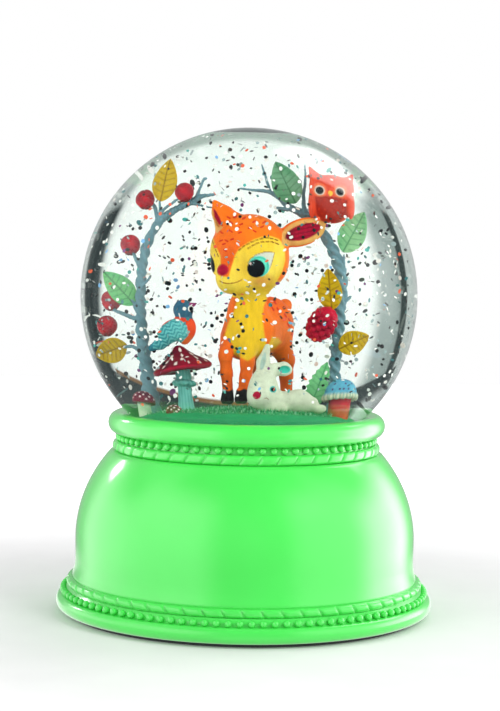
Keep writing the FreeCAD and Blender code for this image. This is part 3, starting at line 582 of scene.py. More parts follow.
def rope_ring(ring, z, half_height, depth, count, slant, steps_each=16, rows=15):
    """Twisted-rope band: plump strands with narrow slanting grooves between them."""
    steps = count * steps_each
    turn = 2 * math.pi * np.arange(steps) / steps
    across = np.linspace(-1.0, 1.0, rows)
    points = []
    for t in turn:
        for a in across:
            phase = (count * t / (2 * math.pi) + slant * a) % 1.0
            gap = min(phase, 1 - phase)
            groove = math.exp(-(gap / 0.055) ** 2)
            plump = 1.0 - 0.16 * (abs(phase - 0.5) * 2) ** 4
            bulge = math.sqrt(max(0.0, 1 - (abs(a) ** 2.6))) * plump - 0.42 * groove * (1 - abs(a) ** 4)
            radius = ring - 0.25 + (depth + 0.25) * max(bulge, 0.0)
            points.append((radius * math.cos(t), radius * math.sin(t), z + half_height * a))
    inner = len(points)
    for t in turn:
        points.append(((ring - 0.9) * math.cos(t), (ring - 0.9) * math.sin(t), z + half_height))
        points.append(((ring - 0.9) * math.cos(t), (ring - 0.9) * math.sin(t), z - half_height))
    faces = []
    for i in range(steps):
        j = (i + 1) % steps
        for row in range(rows - 1):
            faces.append([i * rows + row, j * rows + row, j * rows + row + 1, i * rows + row + 1])
        top_i, top_j = inner + 2 * i, inner + 2 * j
        faces.append([i * rows + rows - 1, j * rows + rows - 1, top_j, top_i])
        faces.append([top_i, top_j, top_j + 1, top_i + 1])
        faces.append([top_i + 1, top_j + 1, j * rows, i * rows])
    return np.array(points), faces


def bead_ring(count, ring, radius, z):
    """Row of round beads."""
    parts = []
    for index in range(count):
        turn = 2 * math.pi * (index + 0.5) / count
        centre = (ring * math.cos(turn), ring * math.sin(turn), z)
        points, faces = ball_mesh(centre, (radius, radius, radius), 13, 18)
        parts.append((points, faces, paint_all(points, (1, 1, 1))))
    return join_parts(parts)


def build_base():
    material = lacquer()
    points, faces = lathe(shell_profile(), 256)
    parts = [(points, outward(points, faces), paint_all(points, (1, 1, 1)))]
    screw_turns = [math.radians(45 + 90 * index) for index in range(4)]
    for turn in screw_turns:
        boss, boss_faces = lathe([(1.5, 4.25), (3.3, 4.25), (3.3, 15.0), (1.5, 15.0)], 32)
        boss = boss + np.array([45.0 * math.cos(turn), 45.0 * math.sin(turn), 0.0])
        parts.append((boss, outward(boss, boss_faces), paint_all(boss, (1, 1, 1))))
    points, faces, _ = join_parts(parts)
    shell = dress(make_object("bell_shell", points, faces), material, "mint_lacquer",
                  replaces=("base_shell",))
    for name, sizes in (("rope_lower", LOWER_ROPE), ("rope_upper", UPPER_ROPE)):
        points, faces = rope_ring(**sizes)
        dress(make_object(name, points, outward(points, faces)), material, "mint_lacquer",
              replaces=("base_shell",))
    for name, sizes in (("beads_lower", LOWER_BEADS), ("beads_upper", UPPER_BEADS)):
        points, faces, _ = bead_ring(**sizes)
        dress(make_object(name, points, faces), material, "mint_lacquer", replaces=("base_shell",))
    return shell


# ---- the grassy mound ----------------------------------------------------------------------
def mound_height(x, y):
    """Lumpy top of the mound."""
    away = np.hypot(x, y)
    lumps = ripple(np.column_stack([x, y, 0 * x]), 0.55, 3) * 0.28
    return MOUND_HIGH.z - 0.75 - 0.0060 * away ** 2 + lumps


def build_mound():
    """The grassy mound: a wavy top, a rounded shoulder and a straight side."""
    steps, points, faces = 180, [], []
    turn = 2 * math.pi * np.arange(steps) / steps
    for radius in np.linspace(0.6, MOUND_TOP_R, 42):
        x, y = radius * np.cos(turn), radius * np.sin(turn)
        points.append(np.column_stack([x, y, mound_height(x, y)]))
    edge = mound_height(MOUND_TOP_R * np.cos(turn), MOUND_TOP_R * np.sin(turn))
    for t in np.linspace(0.12, 1.0, 9):
        angle = t * math.pi / 2
        radius = MOUND_TOP_R + MOUND_SHOULDER * math.sin(angle)
        height = MOUND_SHOULDER_Z + (edge - MOUND_SHOULDER_Z) * math.cos(angle)
        points.append(np.column_stack([radius * np.cos(turn), radius * np.sin(turn), height]))
    side_z = MOUND_LOW.z
    points.append(np.column_stack([MOUND_SIDE_R * np.cos(turn), MOUND_SIDE_R * np.sin(turn),
                                   np.full(steps, side_z)]))
    count = len(points)
    top = len(points) * steps
    points = np.vstack(points + [np.array([[0, 0, mound_height(np.zeros(1), np.zeros(1))[0]],
                                           [0, 0, side_z]])])
    for row in range(count - 1):
        for step in range(steps):
            after = (step + 1) % steps
            faces.append([row * steps + step, (row + 1) * steps + step, (row + 1) * steps + after,
                          row * steps + after])
    for step in range(steps):
        after = (step + 1) % steps
        faces.append([top, step, after])
        faces.append([top + 1, (count - 1) * steps + after, (count - 1) * steps + step])
    away = np.hypot(points[:, 0], points[:, 1])
    paint = mix(mottled(GRASS_TOP, tint(40, 120, 76), points, 1.6, 5), MOUND_GREEN, step_in(23.5, 26.0, away))
    show("mound", (points, outward(points, faces), paint),
         painted("mound_paint", 0.55, 420.0, (1, 1, 1), 0.00016), "grass", "grass_mound")


def build_grass():
    """Short blades scattered over the mound."""
    blade_points, blade_faces, blade_paint = [], [], []
    for _ in range(GRASS_BLADES):
        radius = GRASS_REACH * math.sqrt(rng.uniform(0.0, 1.0))
        turn = rng.uniform(0, 2 * math.pi)
        foot = np.array([radius * math.cos(turn), radius * math.sin(turn), 0.0])
        height = mound_height(foot[:1], foot[1:2])[0]
        if radius > MOUND_TOP_R:
            drop = math.sqrt(max(0.0, 1 - ((radius - MOUND_TOP_R) / MOUND_SHOULDER) ** 2))
            height = MOUND_SHOULDER_Z + (height - MOUND_SHOULDER_Z) * drop
        foot[2] = height - 0.15
        length, width = rng.uniform(0.6, 1.5), rng.uniform(0.16, 0.28)
        lean = rng.normal(size=3) * np.array([0.55, 0.55, 0.0]) + np.array([0, 0, 1.0])
        tip = foot + lean / np.linalg.norm(lean) * length
        spin = rng.uniform(0, 2 * math.pi)
        start = len(blade_points)
        for corner in range(3):
            angle = spin + corner * 2 * math.pi / 3
            blade_points.append(foot + width * np.array([math.cos(angle), math.sin(angle), 0.0]))
        blade_points.append(tip)
        blade_faces += [[start, start + 2, start + 1], [start, start + 1, start + 3],
                        [start + 1, start + 2, start + 3], [start + 2, start, start + 3]]
        colour = mix(GRASS_TOP, GRASS_PALE if rng.uniform() < 0.34 else tint(44, 128, 78),
                     rng.uniform(0.2, 0.9))
        blade_paint += [colour * 0.75] * 3 + [colour]
    grass = make_object("grass_tufts", np.array(blade_points), blade_faces, np.array(blade_paint),
                        smooth=False)
    return dress(grass, painted("grass_paint", 0.6, 900.0, (1, 1, 1), 0.00003), "grass",
                 replaces=("grass_mound",))


# ---- figures -------------------------------------------------------------------------------
def front_spot(points, centre, radii, lean=0.0):
    """How far each point is from an ellipse painted on the front, 1 at its edge."""
    across, up = points[:, 0] - centre[0], points[:, 2] - centre[1]
    c, s = math.cos(math.radians(lean)), math.sin(math.radians(lean))
    along, beside = c * across + s * up, c * up - s * across
    return np.sqrt((along / radii[0]) ** 2 + (beside / radii[1]) ** 2)


def spot_mask(points, centre, radii, soft, lean=0.0):
    """Share of paint on each point for an ellipse with an even soft edge."""
    return step_in(1.0 + soft, 1.0 - soft, front_spot(points, centre, radii, lean))


def in_outline(points, outline):
    """Distance of each point, seen from the front, inside (+) or outside (-) a closed outline."""
    where = points[:, [0, 2]]
    corners = np.asarray(outline, float)
    nearest = np.full(len(points), 1e9)
    inside = np.zeros(len(points), bool)
    for first, second in zip(corners, np.roll(corners, -1, axis=0)):
        edge = second - first
        offset = where - first
        share = np.clip(offset @ edge / (edge @ edge), 0, 1)
        nearest = np.minimum(nearest, np.linalg.norm(offset - share[:, None] * edge, axis=1))
        crosses = (first[1] > where[:, 1]) != (second[1] > where[:, 1])
        with np.errstate(divide="ignore", invalid="ignore"):
            at_x = edge[0] * (where[:, 1] - first[1]) / edge[1] + first[0]
        inside ^= crosses & (where[:, 0] < at_x)
    return np.where(inside, nearest, -nearest)


def stroke(points, line, width):
    """Share of paint on each point for a thin line seen from the front."""
    where = points[:, [0, 2]]
    nearest = np.full(len(points), 1e9)
    for first, second in zip(np.asarray(line[:-1], float), np.asarray(line[1:], float)):
        edge = second - first
        offset = where - first
        share = np.clip(offset @ edge / (edge @ edge), 0, 1)
        nearest = np.minimum(nearest, np.linalg.norm(offset - share[:, None] * edge, axis=1))
    return 1.0 - step_in(width * 0.7, width * 1.3, nearest)


def stitches(points, line, width, dash, gap):
    """A row of dashes along a line."""
    path = curve_through([(x, 0, z) for x, z in line], 12)[:, [0, 2]]
    lengths = np.concatenate([[0], np.cumsum(np.linalg.norm(np.diff(path, axis=0), axis=1))])
    total = np.zeros(len(points))
    start = 0.0
    while start + dash < lengths[-1]:
        ends = [np.array([np.interp(s, lengths, path[:, 0]), np.interp(s, lengths, path[:, 1])])
                for s in (start, start + dash)]
        total = np.maximum(total, stroke(points, ends, width))
        start += dash + gap
    return total


FACE_PATCH = [(-4.9, 98.9), (-4.2, 101.5), (-3.4, 104.1), (-2.5, 105.6), (-0.8, 106.8), (1.0, 107.8),
              (2.9, 108.4),
              (4.9, 108.4), (6.6, 107.7), (7.8, 106.4), (8.1, 104.5), (8.2, 102.8), (7.9, 101.3),
              (7.5, 100.0),
              (6.6, 98.3), (6.4, 94.0), (-8.6, 92.0), (-9.6, 99.2), (-5.5, 99.0)]
LEFT_PATCH = [(-8.7, 107.9), (-8.1, 106.3), (-7.4, 104.8), (-6.8, 103.7), (-6.8, 101.6), (-6.6, 98.5),
              (-12.0, 96.0), (-12.0, 107.9)]
CHEST = [(-2.0, 98.0), (-2.6, 94.5), (-3.2, 91.4), (-4.7, 87.8), (-5.5, 85.1), (-3.6, 83.2), (-3.2, 80.8),
         (0.0, 79.3), (2.6, 81.2), (4.2, 83.1), (3.7, 85.8), (3.2, 89.3), (3.4, 91.9), (4.4, 94.6),
         (4.4, 98.0)]
BELLY = [(1.6, 85.2), (4.6, 85.4), (6.8, 84.9), (7.4, 84.0), (6.2, 82.8), (4.0, 81.2), (1.0, 80.0)]
EAR_AXIS = np.array([0.945, 0.0, 0.327])
EAR_TURN = np.array([EAR_AXIS, [-0.327, 0.0, 0.945], [0.0, 1.0, 0.0]])
FOREHEAD_DASHES = [(-5.0, 112.0), (-3.5, 112.2), (-1.5, 112.2), (-4.4, 111.1), (-2.1, 111.0), (0.9, 111.6),
                   (-4.5, 109.4), (-2.4, 109.2), (-0.1, 110.3), (-6.7, 108.9), (2.7, 110.5), (-6.7, 107.1),
                   (-5.5, 107.2), (-4.2, 107.6), (-6.1, 106.4), (-5.8, 105.0), (-7.6, 110.2), (-2.9, 110.2),
                   (1.0, 109.6), (3.2, 111.4)]
HIP_DASHES = [(5.3, 91.3), (6.4, 91.2), (8.7, 87.8), (9.4, 86.6), (9.6, 85.5), (8.9, 88.8), (9.3, 84.0),
              (8.0, 89.9)]


EYE_OUTLINE = [(0.9, 104.0), (2.2, 104.55), (3.8, 104.85), (5.75, 104.6),
               (5.4, 103.0), (4.9, 101.0), (4.2, 99.9), (1.6, 100.6)]
EAR_SLIVER = [(-8.5, 114.0), (-7.8, 113.3), (-6.9, 111.7), (-6.2, 110.2), (-7.1, 110.2), (-8.1, 111.8)]
EAR_LINING = [(-8.6, 113.6), (-8.1, 111.8), (-7.1, 110.2), (-6.2, 110.0),
              (-7.6, 108.4), (-9.4, 111.0), (-9.6, 113.0)]


def build_fawn():
    """The fawn: modelled in soft clay, then painted patch by patch."""
    clay = Clay((-11.6, -16.2, 68.4), (18.8, 18.4, 117.4), 0.23)
    clay.add(clay.oval((-0.1, -2.6, 104.2), (8.9, 8.8, 8.6)), 0.1)
    clay.add(clay.oval((1.4, -4.6, 101.2), (6.9, 6.4, 5.6)), 2.5)
    clay.add(clay.taper((-2.4, -6.4, 100.4), (-5.0, -10.4, 98.9), 5.0, 2.9), 2.2)
    clay.add(clay.taper((-3.6, -8.6, 104.0), (-5.7, -11.4, 100.8), 2.7, 1.7), 1.6)
    clay.add(clay.oval((-3.6, -8.2, 97.3), (3.7, 3.4, 2.6)), 1.6)
    clay.add(clay.oval((1.6, -8.4, 101.4), (3.3, 2.6, 3.1)), 1.2)
    clay.add(clay.oval((-7.4, -6.2, 101.6), (1.5, 3.0, 2.6)), 1.2)
    clay.add(clay.taper((1.0, -2.4, 97.0), (-0.4, -1.8, 91.0), 3.6, 4.0), 2.0)
    clay.add(clay.taper((-0.4, -1.8, 91.0), (-1.0, -1.6, 85.0), 4.0, 5.3), 1.5)
    clay.add(clay.taper((1.0, -0.4, 86.4), (3.7, 9.2, 87.0), 5.4, 5.5), 2.0)
    clay.add(clay.oval((4.5, 8.6, 87.9), (4.9, 5.4, 5.9)), 2.0)
    legs = [
        ([(-4.1, -4.0, 84.0), (-5.15, -5.0, 80.6), (-4.85, -5.6, 76.6), (-4.5, -6.1, 72.4)],
         [2.3, 1.5, 1.3, 1.22]),
        ([(0.0, -5.0, 82.4), (-0.1, -6.0, 79.0), (-0.45, -6.8, 75.4), (-1.15, -7.6, 71.4)],
         [2.2, 1.55, 1.32, 1.22]),
        ([(6.3, 9.0, 84.6), (8.2, 9.6, 80.4), (8.2, 10.0, 77.0), (8.4, 8.8, 71.4)], [3.2, 1.7, 1.35, 1.25]),
        ([(2.4, 11.2, 84.0), (2.6, 12.4, 79.0), (2.6, 12.6, 76.4), (2.8, 11.6, 71.2)],
         [2.8, 1.7, 1.35, 1.25]),
    ]
    for points, radii in legs:
        clay.limb(points, radii, 0.9)
    for x, y in ((-4.5, -6.4), (-1.3, -8.0), (8.4, 8.4), (2.8, 11.2)):
        clay.add(clay.taper((x, y, 72.0), (x - 0.1, y - 0.4, 70.2), 1.3, 1.6), 0.2)
        clay.cut(clay.oval((x, y, 68.1), (4.0, 4.0, 1.0)), 0.2)
        clay.cut(clay.oval((x - 0.1, y - 2.6, 70.5), (0.3, 1.2, 1.6)), 0.2)
    clay.limb([(-5.4, -0.9, 110.2), (-7.0, -0.6, 112.9), (-8.3, -0.4, 115.2)], [2.8, 1.7, 0.42], 0.9)
    clay.limb([(-3.6, -1.2, 111.6), (-5.4, -0.7, 113.0), (-7.8, -0.4, 115.0)], [1.6, 1.2, 0.45], 0.8)
    clay.cut(clay.oval((-7.9, -2.5, 112.0), (0.65, 1.3, 2.6), [[0.9, 0, 0.42], [0, 1, 0], [-0.42, 0, 0.9]]),
             0.35)
    clay.add(clay.oval((11.6, -0.3, 108.7), (5.5, 3.1, 1.25), EAR_TURN), 1.1)
    clay.limb([(12.8, -0.2, 109.2), (16.7, -0.1, 111.0)], [1.5, 0.45], 1.0)
    clay.cut(clay.oval((11.9, -2.15, 108.8), (4.6, 2.35, 1.5), EAR_TURN), 0.45)
    clay.limb([(6.4, 13.0, 91.0), (7.6, 15.2, 91.8), (8.2, 16.6, 91.0)], [1.6, 1.2, 0.5], 1.0)
    clay.add(clay.oval((-6.15, -12.4, 100.45), (1.5, 1.25, 1.42)), 0.12)
    points, faces = clay.skin()
    x, y, z = points.T
    front = y < -1.0
    head_front = (z > 94.6) & (y < -0.4)

    paint = mix(ORANGE, DEEP_ORANGE, 0.35 + 0.3 * ripple(points, 0.35, 1))
    paint = mix(paint, DEEP_ORANGE, step_in(86.0, 70.0, z) * 0.55)
    chest = step_in(-0.25, 0.35, in_outline(points, CHEST)) * (y < -0.5)
    belly = step_in(-0.3, 0.5, in_outline(points, BELLY)) * (y > -3.5)
    paint = mix(paint, YELLOW, np.maximum(chest, belly * 0.9))
    # painted shade: the inner thighs and the underside between the hind legs are darkened where shadow falls
    shade = step_in(81.8, 79.6, z) * (y > 2.0) * (x < 7.3) * step_in(75.0, 78.0, z)
    paint = mix(paint, tint(140, 78, 30), shade * 0.85)
    patch = step_in(-0.2, 0.2, in_outline(points, FACE_PATCH)) * head_front
    left = step_in(-0.2, 0.2, in_outline(points, LEFT_PATCH)) * (z > 94.6) * (y < -2.2)
    face = np.maximum(patch, left)
    jaw = step_in(98.6, 97.0, z) * (z > 94.0) * (y < -1.5)
    face = np.maximum(face, jaw)
    yellow = mottled(YELLOW, PALE_YELLOW, points, 0.5, 7)
    paint = mix(paint, yellow, face)
    bridge = np.clip(1 - front_spot(points, (-4.9, 103.0), (2.2, 3.6)), 0, 1) * (1 - face) * front
    paint = mix(paint, tint(214, 82, 30), bridge * 1.1)
    cheek = np.clip(1.15 - front_spot(points, (2.9, 98.0), (3.4, 1.7), 8), 0, 1)
    paint = mix(paint, BLUSH, cheek * head_front * 0.75)
    muzzle = np.clip(1.0 - front_spot(points, (-1.2, 101.2), (3.2, 4.6)), 0, 1)
    paint = mix(paint, tint(206, 160, 40), muzzle * face * 0.55)
    for line in ([(-2.6, 105.1), (-1.7, 105.9), (-0.1, 106.9), (1.6, 107.6), (3.1, 108.0), (5.0, 107.9),
                  (7.4, 106.9)],
                 [(-0.5, 105.6), (0.4, 106.2), (1.6, 106.8), (3.1, 107.2), (5.2, 107.1), (7.0, 106.3)]):
        paint = mix(paint, STITCH, stitches(points, line, 0.13, 0.75, 0.4) * head_front)
    paint = mix(paint, STITCH, stitches(points, [(-8.9, 107.6), (-8.2, 105.6), (-7.6, 104.2), (-7.1, 103.0)],
                                        0.12, 0.6, 0.35) * head_front)
    dashes = np.zeros(len(points))
    for index, (px, pz) in enumerate(FOREHEAD_DASHES):
        lean = -0.45 if index % 3 else 0.5
        dashes = np.maximum(dashes, stroke(points, [(px - 0.3, pz + lean * 0.3), (px + 0.3, pz - lean * 0.3)],
                                           0.17))
    paint = mix(paint, DASH_RED, dashes * head_front * (1 - face))
    hips = np.zeros(len(points))
    for px, pz in HIP_DASHES:
        hips = np.maximum(hips, stroke(points, [(px - 0.2, pz + 0.35), (px + 0.25, pz - 0.35)], 0.16))
    paint = mix(paint, DASH_RED, hips * (z < 93))
    back_dashes = (np.sin(x * 2.1 + y * 0.4) > 0.82) & (np.sin(y * 1.7 - z * 0.9) > 0.7)
    back_dashes &= (y > 1.0) & (z > 86.5) & (z < 93.6)
    paint = mix(paint, DASH_RED, back_dashes * 0.85)
    eye_white = step_in(-0.08, 0.12, in_outline(points, EYE_OUTLINE))
    paint = mix(paint, EYE_WHITE, eye_white * head_front)
    eye = spot_mask(points, (2.15, 101.45), (2.5, 2.5), 0.03)
    paint = mix(paint, TURQUOISE, eye * head_front)
    ring = step_in(0.09, 0.03, np.abs(front_spot(points, (2.15, 101.45), (2.5, 2.5)) - 0.86))
    paint = mix(paint, tint(40, 150, 136), ring * head_front * 0.6)
    pupil = spot_mask(points, (1.55, 100.95), (2.12, 2.12), 0.03)
    paint = mix(paint, BLACK, pupil * head_front)
    # painted highlights: small pale specks on the pupil, with a dim painted reflection beside them
    for spot_x, spot_z, size, colour in ((0.2, 102.1, 0.26, tint(226, 196, 190)),
                                         (0.95, 102.3, 0.16, tint(150, 190, 190)),
                                         (0.75, 101.8, 0.12, tint(90, 120, 124))):
        paint = mix(paint, colour, spot_mask(points, (spot_x, spot_z), (size, size), 0.15) * head_front)
    left_eye = spot_mask(points, (-8.75, 101.6), (0.62, 2.0), 0.05, 12) * (y < -3.0)
    paint = mix(paint, BLACK, left_eye)
    lid = np.maximum(stroke(points, [(-0.5, 102.2), (0.3, 103.3), (1.6, 104.2), (3.8, 104.95), (5.8, 104.7)],
                            0.09),
                     stroke(points, [(5.75, 104.6), (5.3, 102.6), (4.7, 100.9)], 0.07))
    paint = mix(paint, tint(110, 84, 52), lid * head_front * 0.8)
    mouth = stroke(points, [(-7.0, 97.9), (-5.9, 97.45), (-4.4, 97.35), (-2.9, 97.7), (-1.7, 98.3)], 0.12)
    paint = mix(paint, tint(150, 86, 30), mouth * head_front)
    nose = step_in(0.1, -0.1, np.linalg.norm((points - (-6.15, -12.4, 100.45)) / (1.6, 1.4, 1.5),
                                             axis=1) - 1.0)
    paint = mix(paint, CRIMSON, nose)
    rim_ear = spot_mask(points, (12.0, 108.8), (5.4, 2.75), 0.03, 19.1) * (y < 0.4) * (x > 7.3)
    hairs = np.sin(7.5 * ((points - (7.6, 0, 107.4)) @ EAR_TURN[1]) + 0.8 * x) > 0.55
    paint = mix(paint, TAN, rim_ear)
    crimson = spot_mask(points, (12.0, 108.9), (4.2, 1.75), 0.05, 19.1) * (y < 0.2) * (x > 7.3)
    paint = mix(paint, mix(CRIMSON, DARK_CRIMSON, hairs * 0.8), crimson)
    paint = mix(paint, DARK_CRIMSON, crimson * step_in(10.6, 8.4, x))
    sliver = step_in(-0.05, 0.1, in_outline(points, EAR_SLIVER)) * (y < 0)
    lining = step_in(-0.05, 0.1, in_outline(points, EAR_LINING)) * (y < 0)
    paint = mix(paint, TAN, lining * 0.9)
    paint = mix(paint, CRIMSON, sliver)
    hoof = step_in(72.6, 72.3, z + 0.25 * np.sin(2.5 * x))
    paint = mix(paint, tint(30, 34, 34), hoof)
    knees = (z < 79.5) & (z > 72.6)
    paint = mix(paint, tint(176, 74, 24), knees * (0.25 + 0.25 * ripple(points, 1.4, 9)))
    material = painted("fawn_paint", 0.4, 900.0, (1.0, 1.0, 0.3), 0.00005)
    show("fawn_figure", (points, faces, paint), material, "fawn_paint", "fawn")


def build_rabbit():
    clay = Clay((-1.6, -21.0, 64.2), (22.0, -9.6, 84.6), 0.17)
    clay.add(clay.oval((3.9, -17.2, 71.4), (3.9, 3.5, 4.6)), 0.1)
    clay.add(clay.oval((3.2, -18.6, 69.6), (2.9, 2.2, 2.7)), 1.6)
    clay.add(clay.oval((3.8, -17.0, 74.6), (2.4, 2.3, 2.6)), 1.8)
    clay.add(clay.taper((6.4, -15.6, 68.6), (12.6, -14.6, 68.9), 2.9, 3.1), 1.6)
    clay.add(clay.taper((12.6, -14.6, 68.9), (15.6, -13.9, 68.3), 3.0, 2.0), 1.2)
    clay.add(clay.oval((17.8, -13.6, 66.9), (1.9, 1.4, 1.3)), 0.6)
    clay.add(clay.taper((4.6, -17.6, 67.2), (8.8, -18.2, 66.6), 1.7, 1.3), 1.0)
    clay.limb([(3.3, -15.9, 75.6), (3.7, -15.4, 78.8), (4.6, -14.8, 82.6)], [1.35, 1.45, 0.7], 1.0)
    clay.cut(clay.oval((3.6, -17.2, 79.0), (0.75, 0.9, 2.4), [[0.97, 0, -0.2], [0, 1, 0], [0.2, 0, 0.97]]),
             0.35)
    clay.limb([(5.0, -16.2, 75.0), (6.6, -16.1, 77.1), (8.6, -16.1, 77.3)], [1.1, 1.3, 1.75], 1.0)
    clay.add(clay.oval((8.8, -16.1, 77.0), (2.0, 1.0, 1.45)), 0.6)
    clay.cut(clay.oval((8.9, -17.3, 77.0), (1.35, 0.7, 0.95)), 0.3)
    clay.add(clay.oval((2.4, -20.2, 70.15), (0.98, 0.6, 0.98)), 0.1)
    points, faces = clay.skin()
    x, y, z = points.T
    front = y < -14.5
    tone = tone_of(points, 0.5, 21)
    paint = mix(CREAM, WARM_GREY, tone * 0.6 + step_in(70.0, 65.5, z) * 0.5)
    turquoise = spot_mask(points, (9.0, 77.0), (1.4, 0.95), 0.05) * front
    paint = mix(paint, tint(70, 200, 176), turquoise)
    paint = mix(paint, tint(150, 184, 176), step_in(1.05, 0.9,
                                                    front_spot(points, (3.7, 79.0), (0.6, 2.3), -10))
                * (y < -15.6) * 0.7)
    paint = mix(paint, CRIMSON, step_in(1.06, 0.96, front_spot(points, (2.4, 70.15),
                                                               (1.02, 1.02))) * (y < -19.0))
    paint = mix(paint, tint(60, 180, 170), spot_mask(points, (6.35, 71.8), (0.85, 0.85), 0.06) * front)
    paint = mix(paint, BLACK, spot_mask(points, (6.35, 71.8), (0.58, 0.58), 0.06) * front)
    smile = stroke(points, [(4.3, 69.2), (4.9, 69.5), (5.3, 69.1)], 0.09)
    paint = mix(paint, STITCH, smile * front * 0.7)
    strands = np.sin(5.0 * z + 1.2 * x) * np.sin(1.1 * x + 0.4 * z)
    paint = mix(paint, WARM_GREY * 0.82, (strands > 0.86) * 0.45)
    material = painted("rabbit_paint", 0.42, 800.0, (1, 1, 0.4), 0.00005)
    show("rabbit_figure", (points, faces, paint), material, "rabbit_paint", "rabbit")


def build_bird():
    clay = Clay((-24.2, -11.4, 79.8), (-10.2, -1.4, 94.6), 0.14)
    clay.add(clay.oval((-15.1, -6.7, 90.9), (2.35, 2.4, 2.35)), 0.1)
    clay.add(clay.oval((-14.8, -6.4, 86.6), (2.75, 2.6, 3.3)), 1.0)
    clay.add(clay.taper((-15.0, -6.2, 85.0), (-14.6, -6.2, 83.9), 2.2, 1.0), 0.8)
    clay.add(clay.oval((-17.6, -6.4, 86.2), (3.3, 1.5, 2.3), [[0.86, 0, 0.5], [0, 1, 0], [-0.5, 0, 0.86]]),
             0.5)
    clay.limb([(-17.6, -5.8, 85.0), (-20.2, -4.9, 83.0), (-22.2, -4.2, 81.9)], [1.7, 1.3, 0.8], 0.8)
    for index in range(4):
        start = np.array([-16.2 - 0.4 * index, -7.3 + 0.25 * index, 87.2 - 0.75 * index])
        end = start + np.array([-4.4 + 0.35 * index, 1.5, -2.6])
        clay.add(clay.taper(start, end, 0.72, 0.32), 0.16)
    clay.add(clay.taper((-13.4, -8.2, 91.9), (-12.2, -9.6, 92.5), 0.75, 0.12), 0.3)
    clay.add(clay.oval((-13.5, -8.45, 91.2), (0.62, 0.45, 0.66)), 0.1)
    points, faces = clay.skin()
    x, y, z = points.T
    tone = tone_of(points, 0.9, 31)
    paint = mix(BREAST, tint(214, 64, 38), tone)
    paint = mix(paint, tint(240, 130, 60), step_in(85.6, 84.0, z) * 0.6)
    head = step_in(88.9, 89.2, z + 0.12 * (x + 15))
    paint = mix(paint, mix(SLATE_BLUE, tint(62, 110, 134), tone), head)
    wing = step_in(-0.1, 0.15, in_outline(points, [(-17.4, 88.9), (-21.4, 86.2), (-22.6, 83.8), (-23.4, 81.0),
                                                  (-19.7, 81.4), (-16.0, 82.6), (-13.9, 85.0), (-14.3, 87.3),
                                                  (-15.6, 88.4)]))
    feather = 0.5 + 0.5 * np.sin(6.5 * (0.5 * x - 0.86 * z) + 2.6 * np.sin(2.9 * (0.86 * x + 0.5 * z)))
    paint = mix(paint, mix(TEAL, PALE_TEAL, feather * 0.8 + 0.35 * step_in(-21.0, -15.0, x)),
                wing * (1 - head))
    ragged = step_in(0.75, 0.95, np.sin(3.1 * x + 5.3 * z) * np.sin(4.7 * x - 2.9 * z))
    paint = mix(paint, tint(30, 96, 112), ragged * wing * (1 - head) * 0.8)
    back = (y > -5.2) & (z < 89.0)
    paint = mix(paint, mix(TEAL, SLATE_BLUE, 0.5), back * 0.9)
    paint = mix(paint, tint(150, 60, 110), step_in(0.1, -0.1,
                                                   np.linalg.norm(points - (-12.9, -8.9, 92.2),
                                                                  axis=1) - 1.0))
    to_eye = np.linalg.norm(points - (-13.4, -8.8, 91.2), axis=1)
    paint = mix(paint, tint(240, 240, 232), step_in(0.78, 0.7, to_eye))
    paint = mix(paint, BLACK, step_in(0.55, 0.47, to_eye))
    paint = mix(paint, tint(226, 226, 220), stroke(points, [(-16.2, 90.0), (-15.9, 89.0)], 0.12) * (y < -7))
    material = painted("bird_paint", 0.42, 1100.0, (1, 1, 0.5), 0.00006)
    show("bird_figure", (points, faces, paint), material, "bird_paint", "bird")


def tilt_about(points, centre, degrees, axis="Y"):
    """Points turned about an axis through a centre."""
    turn = np.array(Matrix.Rotation(math.radians(degrees), 3, axis))
    return (points - centre) @ turn.T + centre


